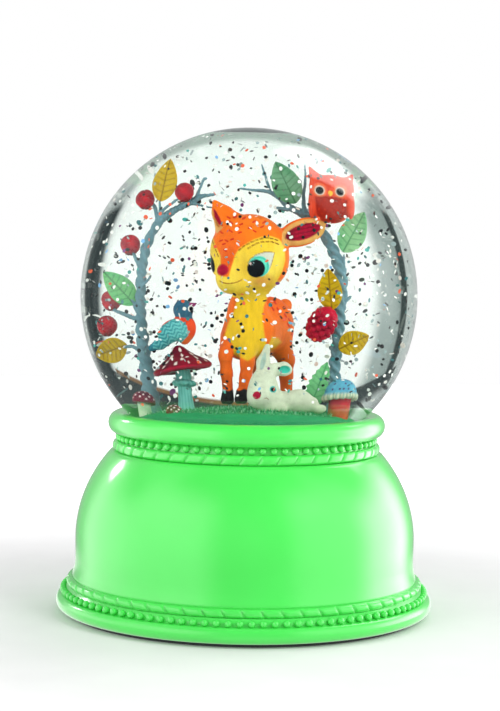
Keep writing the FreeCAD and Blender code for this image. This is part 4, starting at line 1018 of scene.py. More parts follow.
def build_toadstools():
    """Big spotted toadstool, the blue mushroom and the two small ones."""
    outline = [(0.0, 5.9), (0.55, 5.8), (1.3, 5.2), (2.3, 4.15), (3.5, 3.1), (4.9, 2.2), (6.1, 1.35),
               (6.85, 0.6),
               (7.0, 0.1), (6.75, -0.35), (6.2, -0.4), (5.4, -0.1), (4.0, 0.1), (2.0, 0.25), (0.0, 0.3)]
    profile = curve_through([(r, 0, z) for r, z in outline], 4)[:, [0, 2]]
    profile[:, 0] = np.maximum(profile[:, 0], 0.0)
    profile[0, 0] = profile[-1, 0] = 0.0
    points, faces = lathe(profile, 112, closed=False)
    turn = np.arctan2(points[:, 1], points[:, 0])
    flare = np.hypot(points[:, 0], points[:, 1]) / 7.0
    points[:, 2] += 0.28 * flare ** 2 * np.sin(3 * turn + 0.6) + 0.07 * ripple(points, 1.3, 41)
    spots = np.zeros(len(points))
    for row, (radius, count) in enumerate(((1.7, 4), (3.2, 7), (4.6, 8), (6.0, 11))):
        for index in range(count):
            angle = 2 * math.pi * (index + 0.5 * (row % 2)) / count + 0.13 * math.sin(7.0 * index + row)
            place = np.array([radius * math.cos(angle), radius * math.sin(angle)])
            offset = points[:, :2] - place
            away = place / radius
            along, beside = offset @ away, offset @ np.array([-away[1], away[0]])
            size = 0.36 + 0.06 * math.sin(3.3 * index + row)
            spots = np.maximum(spots, step_in(1.15, 0.85, np.hypot(along / (size * 1.25), beside / size)))
    above = points[:, 2] > 0.3
    paint = mottled(tint(132, 8, 36), tint(84, 8, 32), points, 1.1, 42)
    paint = mix(paint, tint(236, 226, 214), spots * above)
    paint = mix(paint, tint(178, 30, 56), step_in(6.7, 6.95, flare * 7.0) * 0.7)
    paint = mix(paint, tint(120, 40, 52), ~above * 0.8)
    points += np.array([-15.2, -6.0, 76.9])
    points = tilt_about(points, np.array([-15.2, -6.0, 77.6]), -11.5)
    show("toadstool_hat", (points, outward(points, faces), paint),
         painted("toadstool_red", 0.3, 900.0, (1, 1, 1), 0.00004, coat=0.12), "toadstool_red",
         "toadstool_cap")

    stem_outline = [(0.0, 65.8), (2.1, 65.8), (1.9, 68.5), (1.65, 71.0), (1.6, 72.9), (2.6, 73.35),
                    (2.85, 73.8),
                    (2.45, 74.3), (1.75, 74.7), (1.9, 75.6), (1.7, 76.6), (1.6, 77.3), (0.0, 77.3)]
    points, faces = lathe(dense(stem_outline, 5), 64, closed=False)
    turn = np.arctan2(points[:, 1], points[:, 0])
    radius = np.hypot(points[:, 0], points[:, 1])
    ruffle = step_in(1.9, 2.8, radius) * 0.25 * np.sin(9 * turn)
    points[:, 2] += ruffle
    points[:, 0] += -14.0 - (points[:, 2] - 66.0) * 0.088
    points[:, 1] += -6.0
    grooves = 0.5 + 0.5 * np.sin(14 * turn)
    paint = mix(tint(120, 196, 182), tint(72, 160, 148), grooves * 0.6 + 0.2 * ripple(points, 1.0, 43))
    show("toadstool_foot", (points, outward(points, faces), paint),
         painted("toadstool_stem", 0.42, 900.0, (1, 1, 0.3)), "toadstool_stem", "toadstool_stem")

    dome = arc_points((0, 0), (4.15, 3.9), 90, 4, 22)
    dome[0] = (0.0, 3.9)
    brim = [(4.35, 0.1), (4.62, -0.5), (4.62, -1.1), (4.2, -1.6), (3.2, -1.5), (2.4, -1.2), (0.0, -1.2)]
    points, faces = lathe(dome + brim, 120, closed=False)
    turn = np.arctan2(points[:, 1], points[:, 0])
    radius = np.hypot(points[:, 0], points[:, 1])
    low = step_in(0.3, -0.4, points[:, 2]) * step_in(3.0, 4.0, radius)
    scallop = 1 + 0.055 * low * np.cos(15 * turn)
    points[:, :2] *= scallop[:, None]
    points[:, 2] -= 0.3 * low * (0.5 + 0.5 * np.cos(15 * turn))
    paint = mottled(SKY_BLUE, tint(70, 150, 178), points, 1.2, 44)
    dots = np.zeros(len(points))
    for row, (level, count) in enumerate(((86, 1), (62, 6), (38, 10), (15, 13))):
        for index in range(count):
            angle = 2 * math.pi * (index + 0.5 * (row % 2)) / count + 0.2 * math.sin(5 * index)
            ring = math.cos(math.radians(level))
            place = np.array([4.15 * ring * math.cos(angle), 4.15 * ring * math.sin(angle),
                              3.9 * math.sin(math.radians(level))])
            dots = np.maximum(dots, step_in(0.34, 0.24, np.linalg.norm(points - place, axis=1)))
    paint = mix(paint, PURPLE, dots)
    gills = 0.5 + 0.5 * np.cos(30 * turn)
    paint = mix(paint, mix(tint(206, 208, 176), tint(140, 176, 150), gills),
                step_in(0.15, -0.15, points[:, 2]))
    points += np.array([22.5, -9.0, 71.2])
    show("blue_hat", (points, outward(points, faces), paint),
         painted("mushroom_blue", 0.36, 900.0, (1, 1, 1), coat=0.1), "mushroom_blue", "blue_mushroom_cap")

    profile = [(0.0, 62.6), (3.1, 62.6), (2.95, 66.5), (2.9, 69.2), (3.0, 69.9), (0.0, 69.9)]
    points, faces = lathe(dense(profile, 6), 64, closed=False)
    points += np.array([22.5, -9.0, 0.0])
    paint = mottled(tint(200, 22, 40), tint(150, 14, 40), points, 0.9, 45)
    show("blue_foot", (points, outward(points, faces), paint),
         painted("mushroom_stem", 0.36, 800.0, (1, 1, 0.4), coat=0.08), "mushroom_stem", "blue_mushroom_stem")

    caps, stems = [], []
    for x, y, z, radius, height in ((-24.6, -4.0, 68.6, 3.1, 2.9), (-18.0, -14.0, 64.7, 2.5, 2.7)):
        outline = arc_points((0, 0), (radius, height), 90, -8, 20)
        outline[0] = (0.0, height)
        outline += [(radius * 0.93, -0.55), (radius * 0.6, -0.3), (0.0, -0.2)]
        points, faces = lathe(outline, 72, closed=False)
        spots = np.zeros(len(points))
        for index in range(26):
            level, angle = math.asin(0.08 + 0.88 * ((index + 0.5) / 26)), 2.4 * index
            place = np.array([radius * math.cos(level) * math.cos(angle),
                              radius * math.cos(level) * math.sin(angle),
                              height * math.sin(level)])
            spots = np.maximum(spots, step_in(0.34, 0.22, np.linalg.norm(points - place, axis=1)))
        paint = mottled(tint(126, 6, 40), tint(76, 6, 44), points, 1.2, 46)
        paint = mix(paint, tint(236, 222, 216), spots)
        caps.append((points + np.array([x, y, z]), outward(points, faces), paint))
        foot = [(0.0, -6.5), (radius * 0.75, -6.5), (radius * 0.62, -3.0), (radius * 0.55, -0.25),
                (0.0, -0.25)]
        points, faces = lathe(dense(foot, 6), 48, closed=False)
        paint = mottled(tint(214, 220, 196), tint(160, 190, 160), points, 0.9, 47)
        stems.append((points + np.array([x, y, z]), outward(points, faces), paint))
    show("small_hats", join_parts(caps), painted("small_toadstool_red", 0.5, 900.0, (1, 1, 1)),
         "toadstool_red", "small_toadstool_caps")
    show("small_feet", join_parts(stems), painted("cream_stem", 0.45, 800.0, (1, 1, 0.4)),
         "cream_stem", "small_toadstool_stems")


# ---- trees ---------------------------------------------------------------------------------
LEFT_TRUNK = [(-20.4, 6, 65.0), (-20.6, 6, 68.5), (-21.5, 6, 74.5), (-22.9, 6, 82.9), (-23.5, 6, 90.0),
              (-23.6, 6, 96.0),
              (-23.1, 6, 101.8), (-22.2, 6, 105.4), (-20.2, 5.6, 109.4), (-17.2, 5, 112.2), (-12.7, 4, 114.8),
              (-10.8, 3.6, 115.9), (-7.9, 3.2, 116.4)]
LEFT_RADII = [2.1, 1.75, 1.45, 1.15, 1.02, 0.95, 0.9, 0.85, 0.78, 0.66, 0.54, 0.38, 0.24]
LEFT_TWIGS = [
    ([(-20.4, 5.8, 109.0), (-20.5, 6, 111.4), (-21.2, 6.4, 113.4), (-22.6, 6.8, 114.2)],
     [0.9, 0.7, 0.6, 0.4]),
    ([(-19.9, 5.4, 110.0), (-19.2, 4.6, 112.6), (-17.4, 4.0, 114.2), (-15.6, 3.4, 115.6)],
     [0.6, 0.5, 0.45, 0.4]),
    ([(-12.2, 3.8, 115.0), (-11.3, 3.8, 117.6), (-10.5, 4, 119.6), (-9.9, 4, 119.9)], [0.7, 0.45, 0.35, 0.3]),
    ([(-13.4, 4, 114.3), (-10.8, 3.6, 113.8), (-8.3, 3.2, 113.4)], [0.5, 0.36, 0.26]),
    ([(-23.8, 6, 99.6), (-24.8, 7, 101.8), (-25.6, 7.8, 103.6)], [0.8, 0.55, 0.4]),
    ([(-24.2, 6, 88.4), (-26.6, 7.8, 89.4), (-28.8, 9.2, 90.4), (-29.3, 9.8, 91.4)], [0.9, 0.65, 0.5, 0.4]),
    ([(-23.2, 6, 81.4), (-25.0, 7.8, 82.6), (-26.6, 9, 82.4)], [0.8, 0.5, 0.4]),
    ([(-24.3, 6, 90.2), (-25.0, 6.6, 91.9), (-25.6, 7, 93.0)], [0.7, 0.5, 0.35]),
    ([(-20.0, 5.2, 110.2), (-20.0, 4.8, 112.6), (-20.1, 4.6, 115.0)], [0.6, 0.45, 0.35]),
    ([(-24.2, 5.6, 95.0), (-22.4, 4.6, 96.9), (-21.6, 4.4, 98.2)], [0.6, 0.4, 0.25]),
]
RIGHT_TRUNK = [(19.1, 4, 64.6), (19.1, 4, 70.0), (19.1, 4, 78.1), (19.7, 4, 86.0), (20.0, 4, 92.0),
               (20.3, 4, 98.0),
               (19.0, 4, 103.0), (16.6, 4, 107.2), (14.2, 4, 110.6), (11.9, 4, 112.2), (8.6, 4, 113.8),
               (6.2, 4, 115.8), (3.9, 4, 117.1), (0.4, 4, 117.4), (-2.6, 4, 117.7)]
RIGHT_RADII = [1.9, 1.4, 1.15, 1.12, 1.18, 1.2, 1.08, 0.9, 0.82, 0.72, 0.6, 0.44, 0.34, 0.24, 0.18]
RIGHT_TWIGS = [
    ([(4.2, 4, 117.0), (3.2, 4, 120.4), (2.1, 4, 123.7)], [0.55, 0.42, 0.25]),
    ([(12.0, 4, 112.2), (11.6, 4, 116.0), (12.0, 4, 120.0), (11.9, 4, 123.9)], [0.95, 0.6, 0.45, 0.3]),
    ([(9.2, 4, 113.4), (7.6, 3.8, 113.3), (5.8, 3.8, 113.6)], [0.8, 0.6, 0.45]),
    ([(13.6, 4, 111.2), (15.4, 3.6, 112.8), (17.2, 3.0, 113.4)], [0.8, 0.7, 0.6]),
    ([(19.8, 4, 91.2), (21.2, 4.2, 93.2), (22.4, 4.6, 94.4)], [0.8, 0.6, 0.35]),
    ([(20.0, 4, 96.0), (20.8, 3.6, 100.2), (20.8, 3.2, 103.6)], [0.7, 0.5, 0.35]),
    ([(19.6, 4, 87.4), (18.8, 2.8, 90.0), (18.5, 1.9, 91.6)], [0.7, 0.5, 0.35]),
    ([(19.2, 4, 80.2), (19.7, 3, 81.6), (20.2, 2.2, 82.6)], [0.8, 0.5, 0.35]),
]


TWIG_SHARE = 0.52


def build_tree(name, node, low, high, trunk, radii, twigs):
    clay = Clay(low, high, 0.23)
    lines = [(trunk, radii)] + twigs
    spine, widths, run = [], [], []
    for index, (points, ends) in enumerate(lines):
        path = curve_through(points, 5)
        share = 1.0 if index == 0 else TWIG_SHARE
        width = share * np.interp(np.linspace(0, 1, len(path)), np.linspace(0, 1, len(ends)), ends)
        clay.limb(path, width, 0.35)
        spine.append(path)
        widths.append(width)
        run.append(np.concatenate([[0], np.cumsum(np.linalg.norm(np.diff(path, axis=0), axis=1))]))
    points, faces = clay.skin()
    spine, widths, run = np.vstack(spine), np.concatenate(widths), np.concatenate(run)
    nearest = np.empty(len(points), int)
    for start in range(0, len(points), 4000):
        gap = ((points[start:start + 4000, None] - spine[None]) ** 2).sum(axis=2) - widths ** 2
        nearest[start:start + 4000] = gap.argmin(axis=1)
    offset = points - spine[nearest]
    turn = np.arctan2(offset[:, 1], offset[:, 0])
    along = run[nearest] + 0.6 * offset[:, 2]
    ridge = np.sin(3 * turn + 2.4 * points[:, 2] + 0.7 * np.sin(0.5 * along))
    knots = ripple(points, 1.1, 51)
    out = offset / np.maximum(np.linalg.norm(offset, axis=1), 1e-6)[:, None]
    points = points + out * (0.26 * ridge + 0.12 * knots)[:, None] * np.minimum(widths[nearest], 1.0)[:, None]
    # painted shade and light: the dark teal bark is painted darker in the grooves and lighter on the ridges,
    # on top of their own shading
    paint = mix(BARK_DARK, BARK_LIGHT, step_in(-0.5, 1.0, ridge) * 0.7 + 0.14 * knots)
    # painted highlights: pale streaks along the ridge crests
    paint = mix(paint, tint(110, 176, 176), step_in(0.82, 1.0, ridge) * step_in(-0.1, 0.5, knots) * 0.6)
    material = bpy.data.materials.get("bark") or painted("bark", 0.5, 1400.0, (1, 1, 0.25), 0.00012)
    show(name, (points, faces, paint), material, "bark", node)


def leaf_mesh(base, tip, width, facing, colours, vein_pairs=6, curl=0.5, teeth=0.0, thick=0.5):
    """Pointed leaf with a midrib and side veins cut into its front, slightly cupped."""
    base, tip = np.asarray(base, float), np.asarray(tip, float)
    along = tip - base
    length = np.linalg.norm(along)
    along /= length
    facing = np.asarray(facing, float)
    side = np.cross(along, facing)
    side /= np.linalg.norm(side)
    normal = np.cross(side, along)
    rows, columns = 56, 33
    points, paint, faces = [], [], []
    for layer in (1.0, -1.0):
        for u in np.linspace(0, 1, rows):
            half = width / 2 * (math.sin(math.pi * min(1.0, u ** 0.8)) ** 0.75 if 0 < u < 1 else 0.0)
            half = max(half * (1 + teeth * (abs((u * 9) % 1.0 - 0.5) - 0.25)), 0.22 * (1 - u) + 0.03)
            for v in np.linspace(-1, 1, columns):
                vein = math.exp(-(abs(v) * half / 0.16) ** 2)
                phase = (u * vein_pairs * 1.25 - abs(v) * 0.9 * half / max(width / 2, 0.1)) % 1.0
                rib = math.exp(-((phase - 0.5) * length / vein_pairs / 0.14) ** 2)
                rib *= (abs(v) < 0.86) * (0.1 < u < 0.9)
                line = max(vein, rib * 0.8)
                cup = curl * (v * v * half / (width / 2)) + 0.35 * math.sin(2.6 * u)
                cup -= 0.12 * line * (layer > 0)
                body = thick * 0.5 * layer * (1 - 0.82 * abs(v) ** 4)
                points.append(base + along * length * u + side * half * v + normal * (body + cup))
                tone = 0.5 + 0.5 * math.sin(3.1 * u + 2.0 * v)
                colour = mix(colours[0], colours[1], tone * 0.5 + 0.35 * abs(v) ** 6)
                paint.append(mix(colour, colours[2], line * 0.85))
    count = rows * columns
    for layer in range(2):
        for row in range(rows - 1):
            for column in range(columns - 1):
                a = layer * count + row * columns + column
                face = [a, a + 1, a + columns + 1, a + columns]
                faces.append(face if layer == 0 else face[::-1])
    edge = ([(0, c) for c in range(columns)] + [(r, columns - 1) for r in range(1, rows)]
            + [(rows - 1, c) for c in range(columns - 2, -1, -1)] + [(r, 0) for r in range(rows - 2, 0, -1)])
    ring = [row * columns + column for row, column in edge]
    for first, second in zip(ring, ring[1:] + ring[:1]):
        faces.append([second, first, first + count, second + count])
    points = np.array(points)
    return points, outward(points, faces), np.array(paint)


YELLOW_LEAF = (OCHRE, tint(208, 180, 20), OCHRE_DARK)
GREEN_LEAF = (LEAF_GREEN, tint(130, 192, 120), LEAF_DARK)


def build_leaves():
    front = (0, -1, 0)
    left = [
        leaf_mesh((-20.0, 4.2, 114.6), (-18.5, 4.6, 124.9), 5.7, front, YELLOW_LEAF),
        leaf_mesh((-24.9, 6.6, 91.6), (-31.4, 9.0, 98.4), 5.8, (0.3, -1, 0), GREEN_LEAF),
        leaf_mesh((-26.0, 8.8, 83.0), (-32.0, 12.0, 80.7), 5.6, (0.4, -1, 0), YELLOW_LEAF),
    ]
    right = [
        leaf_mesh((10.0, 2.4, 114.9), (5.4, 2.6, 124.4), 6.6, front,
                  (tint(76, 142, 98), tint(130, 176, 140), tint(48, 98, 66))),
        leaf_mesh((20.6, 3.0, 104.2), (25.5, 3.6, 113.3), 6.2, front,
                  (tint(112, 186, 128), tint(160, 206, 150), tint(60, 130, 84))),
        leaf_mesh((18.5, 1.4, 91.3), (17.5, 1.0, 100.6), 5.6, front, YELLOW_LEAF),
        leaf_mesh((20.2, 1.8, 82.6), (26.8, 3.0, 85.8), 5.4, front, YELLOW_LEAF),
    ]
    material = painted("leaf_paint", 0.42, 900.0, (1, 1, 1), 0.00004, coat=0.04)
    for name, node, parts in (("leaves_left", "left_tree_leaves", left),
                              ("leaves_right", "right_tree_leaves", right)):
        show(name, join_parts(parts), material, "leaves", node)
    fern = leaf_mesh((14.6, -7.2, 67.4), (18.4, -5.4, 79.4), 5.0, front,
                     (tint(98, 184, 116), tint(136, 204, 144), tint(56, 138, 84)), 7, 0.6, 0.5)
    show("fern", fern, material, "leaf_green", "fern_leaf")


def build_fruit():
    parts = []
    for index, centre in enumerate([(-23.1, 6.6, 114.7), (-14.8, 3, 116.9), (-25.8, 8, 104.5),
                                    (-29.2, 10, 92.4),
                                    (-30.0, 10, 87.0)]):
        points, faces = ball_mesh((0, 0, 0), (2.15, 2.1, 2.15), 25, 32)
        below = step_in(-1.2, -2.1, points[:, 2])
        points *= (1 + 0.03 * ripple(points, 1.5, 60 + index))[:, None]
        crown = below * np.cos(6 * np.arctan2(points[:, 1], points[:, 0])) * 0.25
        points[:, 2] += crown
        paint = mottled(BERRY_RED, tint(140, 8, 34), points, 1.0, 61)
        paint = mix(paint, tint(60, 16, 28), below * 0.8)
        parts.append((points + np.array(centre, float), faces, paint))
    material = painted("berry_paint", 0.25, 900.0, (1, 1, 1), 0.00003, coat=0.2)
    show("berries", join_parts(parts), material, "berry", "left_tree_berries")

    clay = Clay((11.4, -5.4, 82.6), (21.4, 4.2, 93.6), 0.16)
    start, end = np.array([15.4, -0.5, 86.6]), np.array([17.4, -0.5, 89.6])
    clay.add(clay.taper(start, end, 2.1, 2.5), 0.1)
    axis = (end - start) / np.linalg.norm(end - start)
    beside = np.cross(axis, (0, 1.0, 0))
    count = 58
    for index in range(count):
        level = 1 - 2 * (index + 0.5) / count
        turn = index * math.pi * (3 - math.sqrt(5))
        flat = math.sqrt(1 - level * level)
        direction = axis * level + flat * (math.cos(turn) * beside + math.sin(turn) * np.array([0, 1.0, 0]))
        along = axis * (axis @ direction)
        centre = (start + end) / 2 + along * 3.7 + (direction - along) * 2.6
        clay.add(clay.oval(centre, (0.78, 0.78, 0.78)), 0.12)
    points, faces = clay.skin()
    depth = np.linalg.norm(points - (start + end) / 2, axis=1)
    # painted shade: darker in the crevices between the drupelets, lighter on their tops
    paint = mix(tint(120, 8, 40), tint(196, 22, 52), step_in(2.4, 4.4, depth) * 0.7 + 0.3)
    show("raspberry_fruit", (points, faces, paint), material, "berry", "raspberry")


def build_owl():
    clay = Clay((11.0, -5.4, 109.6), (26.6, 6.4, 126.0), 0.17)
    clay.add(clay.oval((18.4, 0.3, 115.4), (4.9, 4.3, 4.6)), 0.1)
    clay.add(clay.oval((18.5, 0.0, 119.0), (5.2, 4.2, 3.4)), 1.6)
    clay.limb([(15.3, 0.0, 120.2), (13.4, 0.0, 123.9)], [2.0, 0.35], 1.1)
    clay.limb([(21.8, 0.0, 120.0), (24.0, 0.0, 123.3)], [2.0, 0.35], 1.1)
    clay.add(clay.oval((13.9, -0.4, 115.4), (0.9, 2.6, 3.4)), 0.5)
    clay.add(clay.oval((22.9, -0.4, 115.4), (0.9, 2.6, 3.4)), 0.5)
    for x in (16.0, 21.0):
        clay.add(clay.oval((x, -3.5, 119.2), (1.75, 0.8, 1.75)), 0.35)
    clay.add(clay.taper((18.6, -4.0, 119.4), (18.6, -4.7, 118.0), 0.6, 0.2), 0.2)
    points, faces = clay.skin()
    x, y, z = points.T
    front = y < 0.3
    tone = tone_of(points, 0.6, 71)
    paint = mix(OWL_RED, tint(240, 96, 60), tone * 0.6)
    belly = in_outline(points, [(14.6, 117.4), (17.0, 118.0), (20.4, 117.8), (22.6, 117.0), (22.0, 113.0),
                                (20.0, 111.0), (16.8, 110.8), (15.0, 113.0)])
    paint = mix(paint, OWL_DARK, step_in(-0.2, 0.4, belly) * front * 0.85)
    scallops = np.abs(np.sin(2.2 * x + (np.floor(z / 1.1) % 2) * 1.57)) * 0.9 + (z / 1.1) % 1.0
    paint = mix(paint, tint(214, 60, 30), (scallops < 0.5) * (belly > 0.2) * front * 0.6)
    wings = (np.abs(x - 18.4) > 4.3) & (z < 118.4)
    paint = mix(paint, tint(214, 76, 52), wings * 0.7)
    for eye_x in (16.0, 21.0):
        spot = front_spot(points, (eye_x, 119.2), (1, 1))
        paint = mix(paint, tint(250, 150, 90), step_in(1.8, 1.6, spot) * front * 0.4)
        paint = mix(paint, tint(206, 206, 190), step_in(1.3, 1.2, spot) * front * 0.8)
        paint = mix(paint, BLACK, step_in(0.98, 0.88, spot) * front)
    paint = mix(paint, tint(246, 190, 60), step_in(0.75, 0.6,
                                                   np.linalg.norm(points - (18.6, -4.5, 118.7), axis=1)))
    material = painted("owl_paint", 0.38, 900.0, (1, 1, 0.5), coat=0.06)
    show("owl_figure", (points, faces, paint), material, "owl_paint", "owl")


# ---- glitter -------------------------------------------------------------------------------
GLITTER_TOP_Z = 135.0


def build_glitter(count=1900):
    """Thin round flakes afloat in the liquid, clear of every figure."""
    solid = [piece for piece in bpy.context.scene.objects
             if piece.type == "MESH" and piece.get("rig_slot") in INNER_SLOTS]
    tree = KDTree(sum(len(piece.data.vertices) for piece in solid))
    index = 0
    for piece in solid:
        for vertex in piece.data.vertices:
            tree.insert(vertex.co, index)
            index += 1
    tree.balance()
    # painted reflections: the flakes are one mirror foil; black, white and grey stand for it mirroring dark
    # and bright surroundings, the tints for its rainbow sheen
    palette = [(BLACK, 0.34), (tint(244, 246, 240), 0.38), (tint(150, 170, 170), 0.10),
               (tint(50, 120, 124), 0.08),
               (tint(232, 92, 50), 0.05), (tint(60, 170, 160), 0.03), (tint(120, 60, 120), 0.02),
               (tint(120, 180, 230), 0.02)]
    shares = np.array([share for _, share in palette])
    reach = GLOBE_R - GLASS_WALL - 4.0
    corners = 12
    turn = 2 * math.pi * np.arange(corners) / corners
    points, faces, paint = [], [], []
    made = 0
    while made < count:
        offset = rng.uniform(-reach, reach, 3)
        normal = rng.normal(size=3)
        radius = rng.uniform(0.34, 0.54)
        choice = rng.choice(len(palette), p=shares / shares.sum())
        if np.linalg.norm(offset) > reach or offset[2] > GLITTER_TOP_Z - CENTRE_Z:
            continue
        centre = offset + np.array([0, 0, CENTRE_Z])
        if np.hypot(centre[0], centre[1]) < 29.5 and centre[2] < 70.0 or centre[2] < 64.5:
            continue
        if tree.find(Vector(centre * MM))[2] < 1.0 * MM:
            continue
        normal /= np.linalg.norm(normal)
        side = np.cross(normal, (0.3, 0.5, 0.8))
        side /= np.linalg.norm(side)
        other = np.cross(normal, side)
        start = len(points)
        colour = palette[choice][0]
        for height in (0.03, -0.03):
            for t in turn:
                points.append(centre + radius * (math.cos(t) * side + math.sin(t) * other) + height * normal)
                paint.append(colour)
        faces.append(list(range(start, start + corners)))
        faces.append(list(range(start + 2 * corners - 1, start + corners - 1, -1)))
        for step in range(corners):
            after = (step + 1) % corners
            faces.append([start + after, start + step, start + corners + step, start + corners + after])
        made += 1
    piece = make_object("glitter", np.array(points), faces, np.array(paint), smooth=False)
    shader = Shader("glitter_foil", 0.3)
    shade = shader.noise(600.0, 2.0)
    shader.colour(shader.blend(1.0, shader.attribute(), shader.ramp(shade,
                                                                    [(0.3, (0.9, 0.9, 0.9)),
                                                                     (0.7, (1, 1, 1))]),
                               "MULTIPLY"))
    shader.roughness(shader.span(shade, 0.22, 0.4))
    shader.bump(shade, 0.00001, 0.2)
    return dress(piece, shader.material, "glitter", replaces=("glitter_flakes",))


INNER_SLOTS = {"grass", "fawn_paint", "rabbit_paint", "bird_paint", "toadstool_red", "toadstool_stem",
               "mushroom_blue", "mushroom_stem", "cream_stem", "bark", "leaves", "leaf_green", "berry",
               "owl_paint"}


# ---- materials of the CAD parts that stay ---------------------------------------------------
def dress_cad_nodes():
    rubber = plain_plastic("clear_rubber", tint(206, 214, 208), 0.5, 900.0, 0.00005)
    glue = plain_plastic("sealant", tint(214, 224, 214), 0.35, 700.0, 0.00008)
    white = plain_plastic("white_plastic", tint(232, 232, 226), 0.42, 3200.0, 0.00003)
    pad = plain_plastic("foot_foam", tint(52, 54, 56), 0.85, 2600.0, 0.00012, spread=0.2)
    silver = plain_plastic("reflector_silver", tint(214, 216, 220), 0.22, 1500.0, 0.00002, metallic=0.9)
    steel = plain_plastic("screw_steel", tint(168, 170, 172), 0.32, 4200.0, 0.00002, metallic=1.0)
    nickel = plain_plastic("nickel", tint(202, 198, 188), 0.25, 3800.0, 0.00001, metallic=1.0)
    black = plain_plastic("black_plastic", tint(28, 29, 31), 0.45, 3600.0, 0.00003)
    board = plain_plastic("circuit_board", tint(24, 96, 58), 0.38, 1200.0, 0.00004, spread=0.25)
    led = plain_plastic("led_epoxy", tint(240, 236, 214), 0.12, 600.0, 0.000005)
    cell = Shader("battery_sleeve", 0.28, Metallic=0.5)
    bands = cell.node("ShaderNodeTexWave", wave_type="BANDS", bands_direction="Y")
    bands.inputs["Scale"].default_value = 9.0
    bands.inputs["Distortion"].default_value = 0.0
    cell.link(cell.place(), bands.inputs["Vector"])
    cell.colour(cell.ramp(bands.outputs["Fac"], [(0.35, tint(36, 88, 60)), (0.42, tint(190, 192, 190))]))
    scuff = cell.noise(900.0, 4.0)
    cell.roughness(cell.span(scuff, 0.2, 0.4))
    cell.bump(scuff, 0.00001, 0.3)
    wires = {"wire_red": tint(178, 24, 26), "wire_black": tint(26, 26, 28), "wire_white": tint(224, 224, 220)}
    finishes = {
        "stopper": rubber, "glue_ring": glue, "foot_pad": pad, "bottom_plate": white, "battery_door": white,
        "reflector_cup": silver, "plate_screws": steel, "door_screw_1": steel, "door_screw_2": steel,
        "switch_screws": steel, "board_screws": steel, "contact_plates": nickel, "contact_springs": nickel,
        "switch_body": black, "switch_knob": black, "led_board": board, "leds": led,
        "battery_1": cell.material, "battery_2": cell.material, "battery_3": cell.material,
    }
    for name, colour in wires.items():
        finishes[name] = plain_plastic(name, colour, 0.4, 2400.0, 0.00002)
    for name, material in finishes.items():
        node = NODES[name]
        node.data.materials.clear()
        node.data.materials.append(material)


# ---- studio --------------------------------------------------------------------------------
TO_DEGREES = 57.2958
FLOOR_HALF, FLOOR_Z = 900, -0.02
SLATE = (0.035, 0.05, 0.055)
ROOM_GREY = (0.42, 0.43, 0.43)
BACKDROP_GREY = (0.62, 0.66, 0.66)
# each panel: azimuth range from straight behind (+Y) towards +X, elevation range, softness, colour
STUDIO_LIGHTS = [
    ((-180, 180), (40, 95), 10, (0.62, 0.62, 0.62)),           # soft ceiling
    ((118, 185), (-25, 70), 8, (0.16, 0.17, 0.17)),            # dim room beside the camera, right
    ((-185, -112), (-25, 70), 8, (0.16, 0.17, 0.17)),          # dim room beside the camera, left
    ((62, 100), (20, 90), 5, (0.3, 0.3, 0.3)),                 # gap above the right softbox
    ((-158, -92), (-40, 44), 12, (1.5, 1.5, 1.5)),             # white wall, left
    ((88, 146), (-40, 44), 12, (1.3, 1.3, 1.3)),               # white wall, right
    ((-100, -46), (-40, 22), 12, (1.9, 1.9, 1.9)),             # left softbox
    ((-53, -44), (19, 27), 2, (12.0, 12.0, 12.0)),             # small lamp, left
    ((16, 62), (33, 62), 4, (3.2, 3.2, 3.2)),                  # softbox above and behind, right
    ((42, 92), (-40, 24), 12, (4.4, 4.4, 4.4)),                # right softbox
]
# what the clear globe mirrors: the same lights, mostly screened off
GLASS_GREY = (0.1, 0.105, 0.105)
GLASS_LIGHTS = [
    ((-30, 30), (-95, 95), 6, (0.6, 0.62, 0.62)),              # backdrop behind, at the outline
    ((-112, -66), (-8, 24), 8, (0.9, 0.95, 0.95)),             # left softbox
    ((16, 62), (33, 62), 4, (3.4, 3.4, 3.4)),                  # softbox above and behind, right
    ((66, 112), (-8, 24), 9, (1.4, 1.4, 1.4)),                 # right softbox
]
# what is seen through the ball
BACKDROP_PANELS = [
    ((-34, 35), (-95, 40), 4, (1.3, 1.3, 1.3)),                # lit backdrop
    ((54, 84), (-50, 60), 3, (0.95, 0.97, 0.97)),              # white wall, right
    ((36, 54), (-24, 60), 2, SLATE),                           # dark flag, right
    ((-39, -25), (-26, 20), 3, (0.46, 0.53, 0.52)),            # grey edge of the backdrop, left
    ((-90, -44), (-50, 60), 2, (0.9, 0.95, 0.95)),             # white wall, left
    ((-44, -38), (-24, 24), 1.2, (0.05, 0.07, 0.07)),          # dark gap, left
    ((-22, 34), (16.0, 17.8), 0.4, (0.3, 0.15, 0.07)),         # brown top edge of the backdrop
    ((-48, 60), (17.2, 90), 0.4, SLATE),                       # dark space above the backdrop
    ((-90, -31), (24, 90), 3, (0.8, 0.85, 0.85)),              # white ceiling over the left wall
    ((94, 185), (-95, 95), 6, (0.02, 0.02, 0.02)),             # unlit side of the camera, right
    ((-185, -94), (-95, 95), 6, (0.02, 0.02, 0.02)),           # unlit side of the camera, left
]


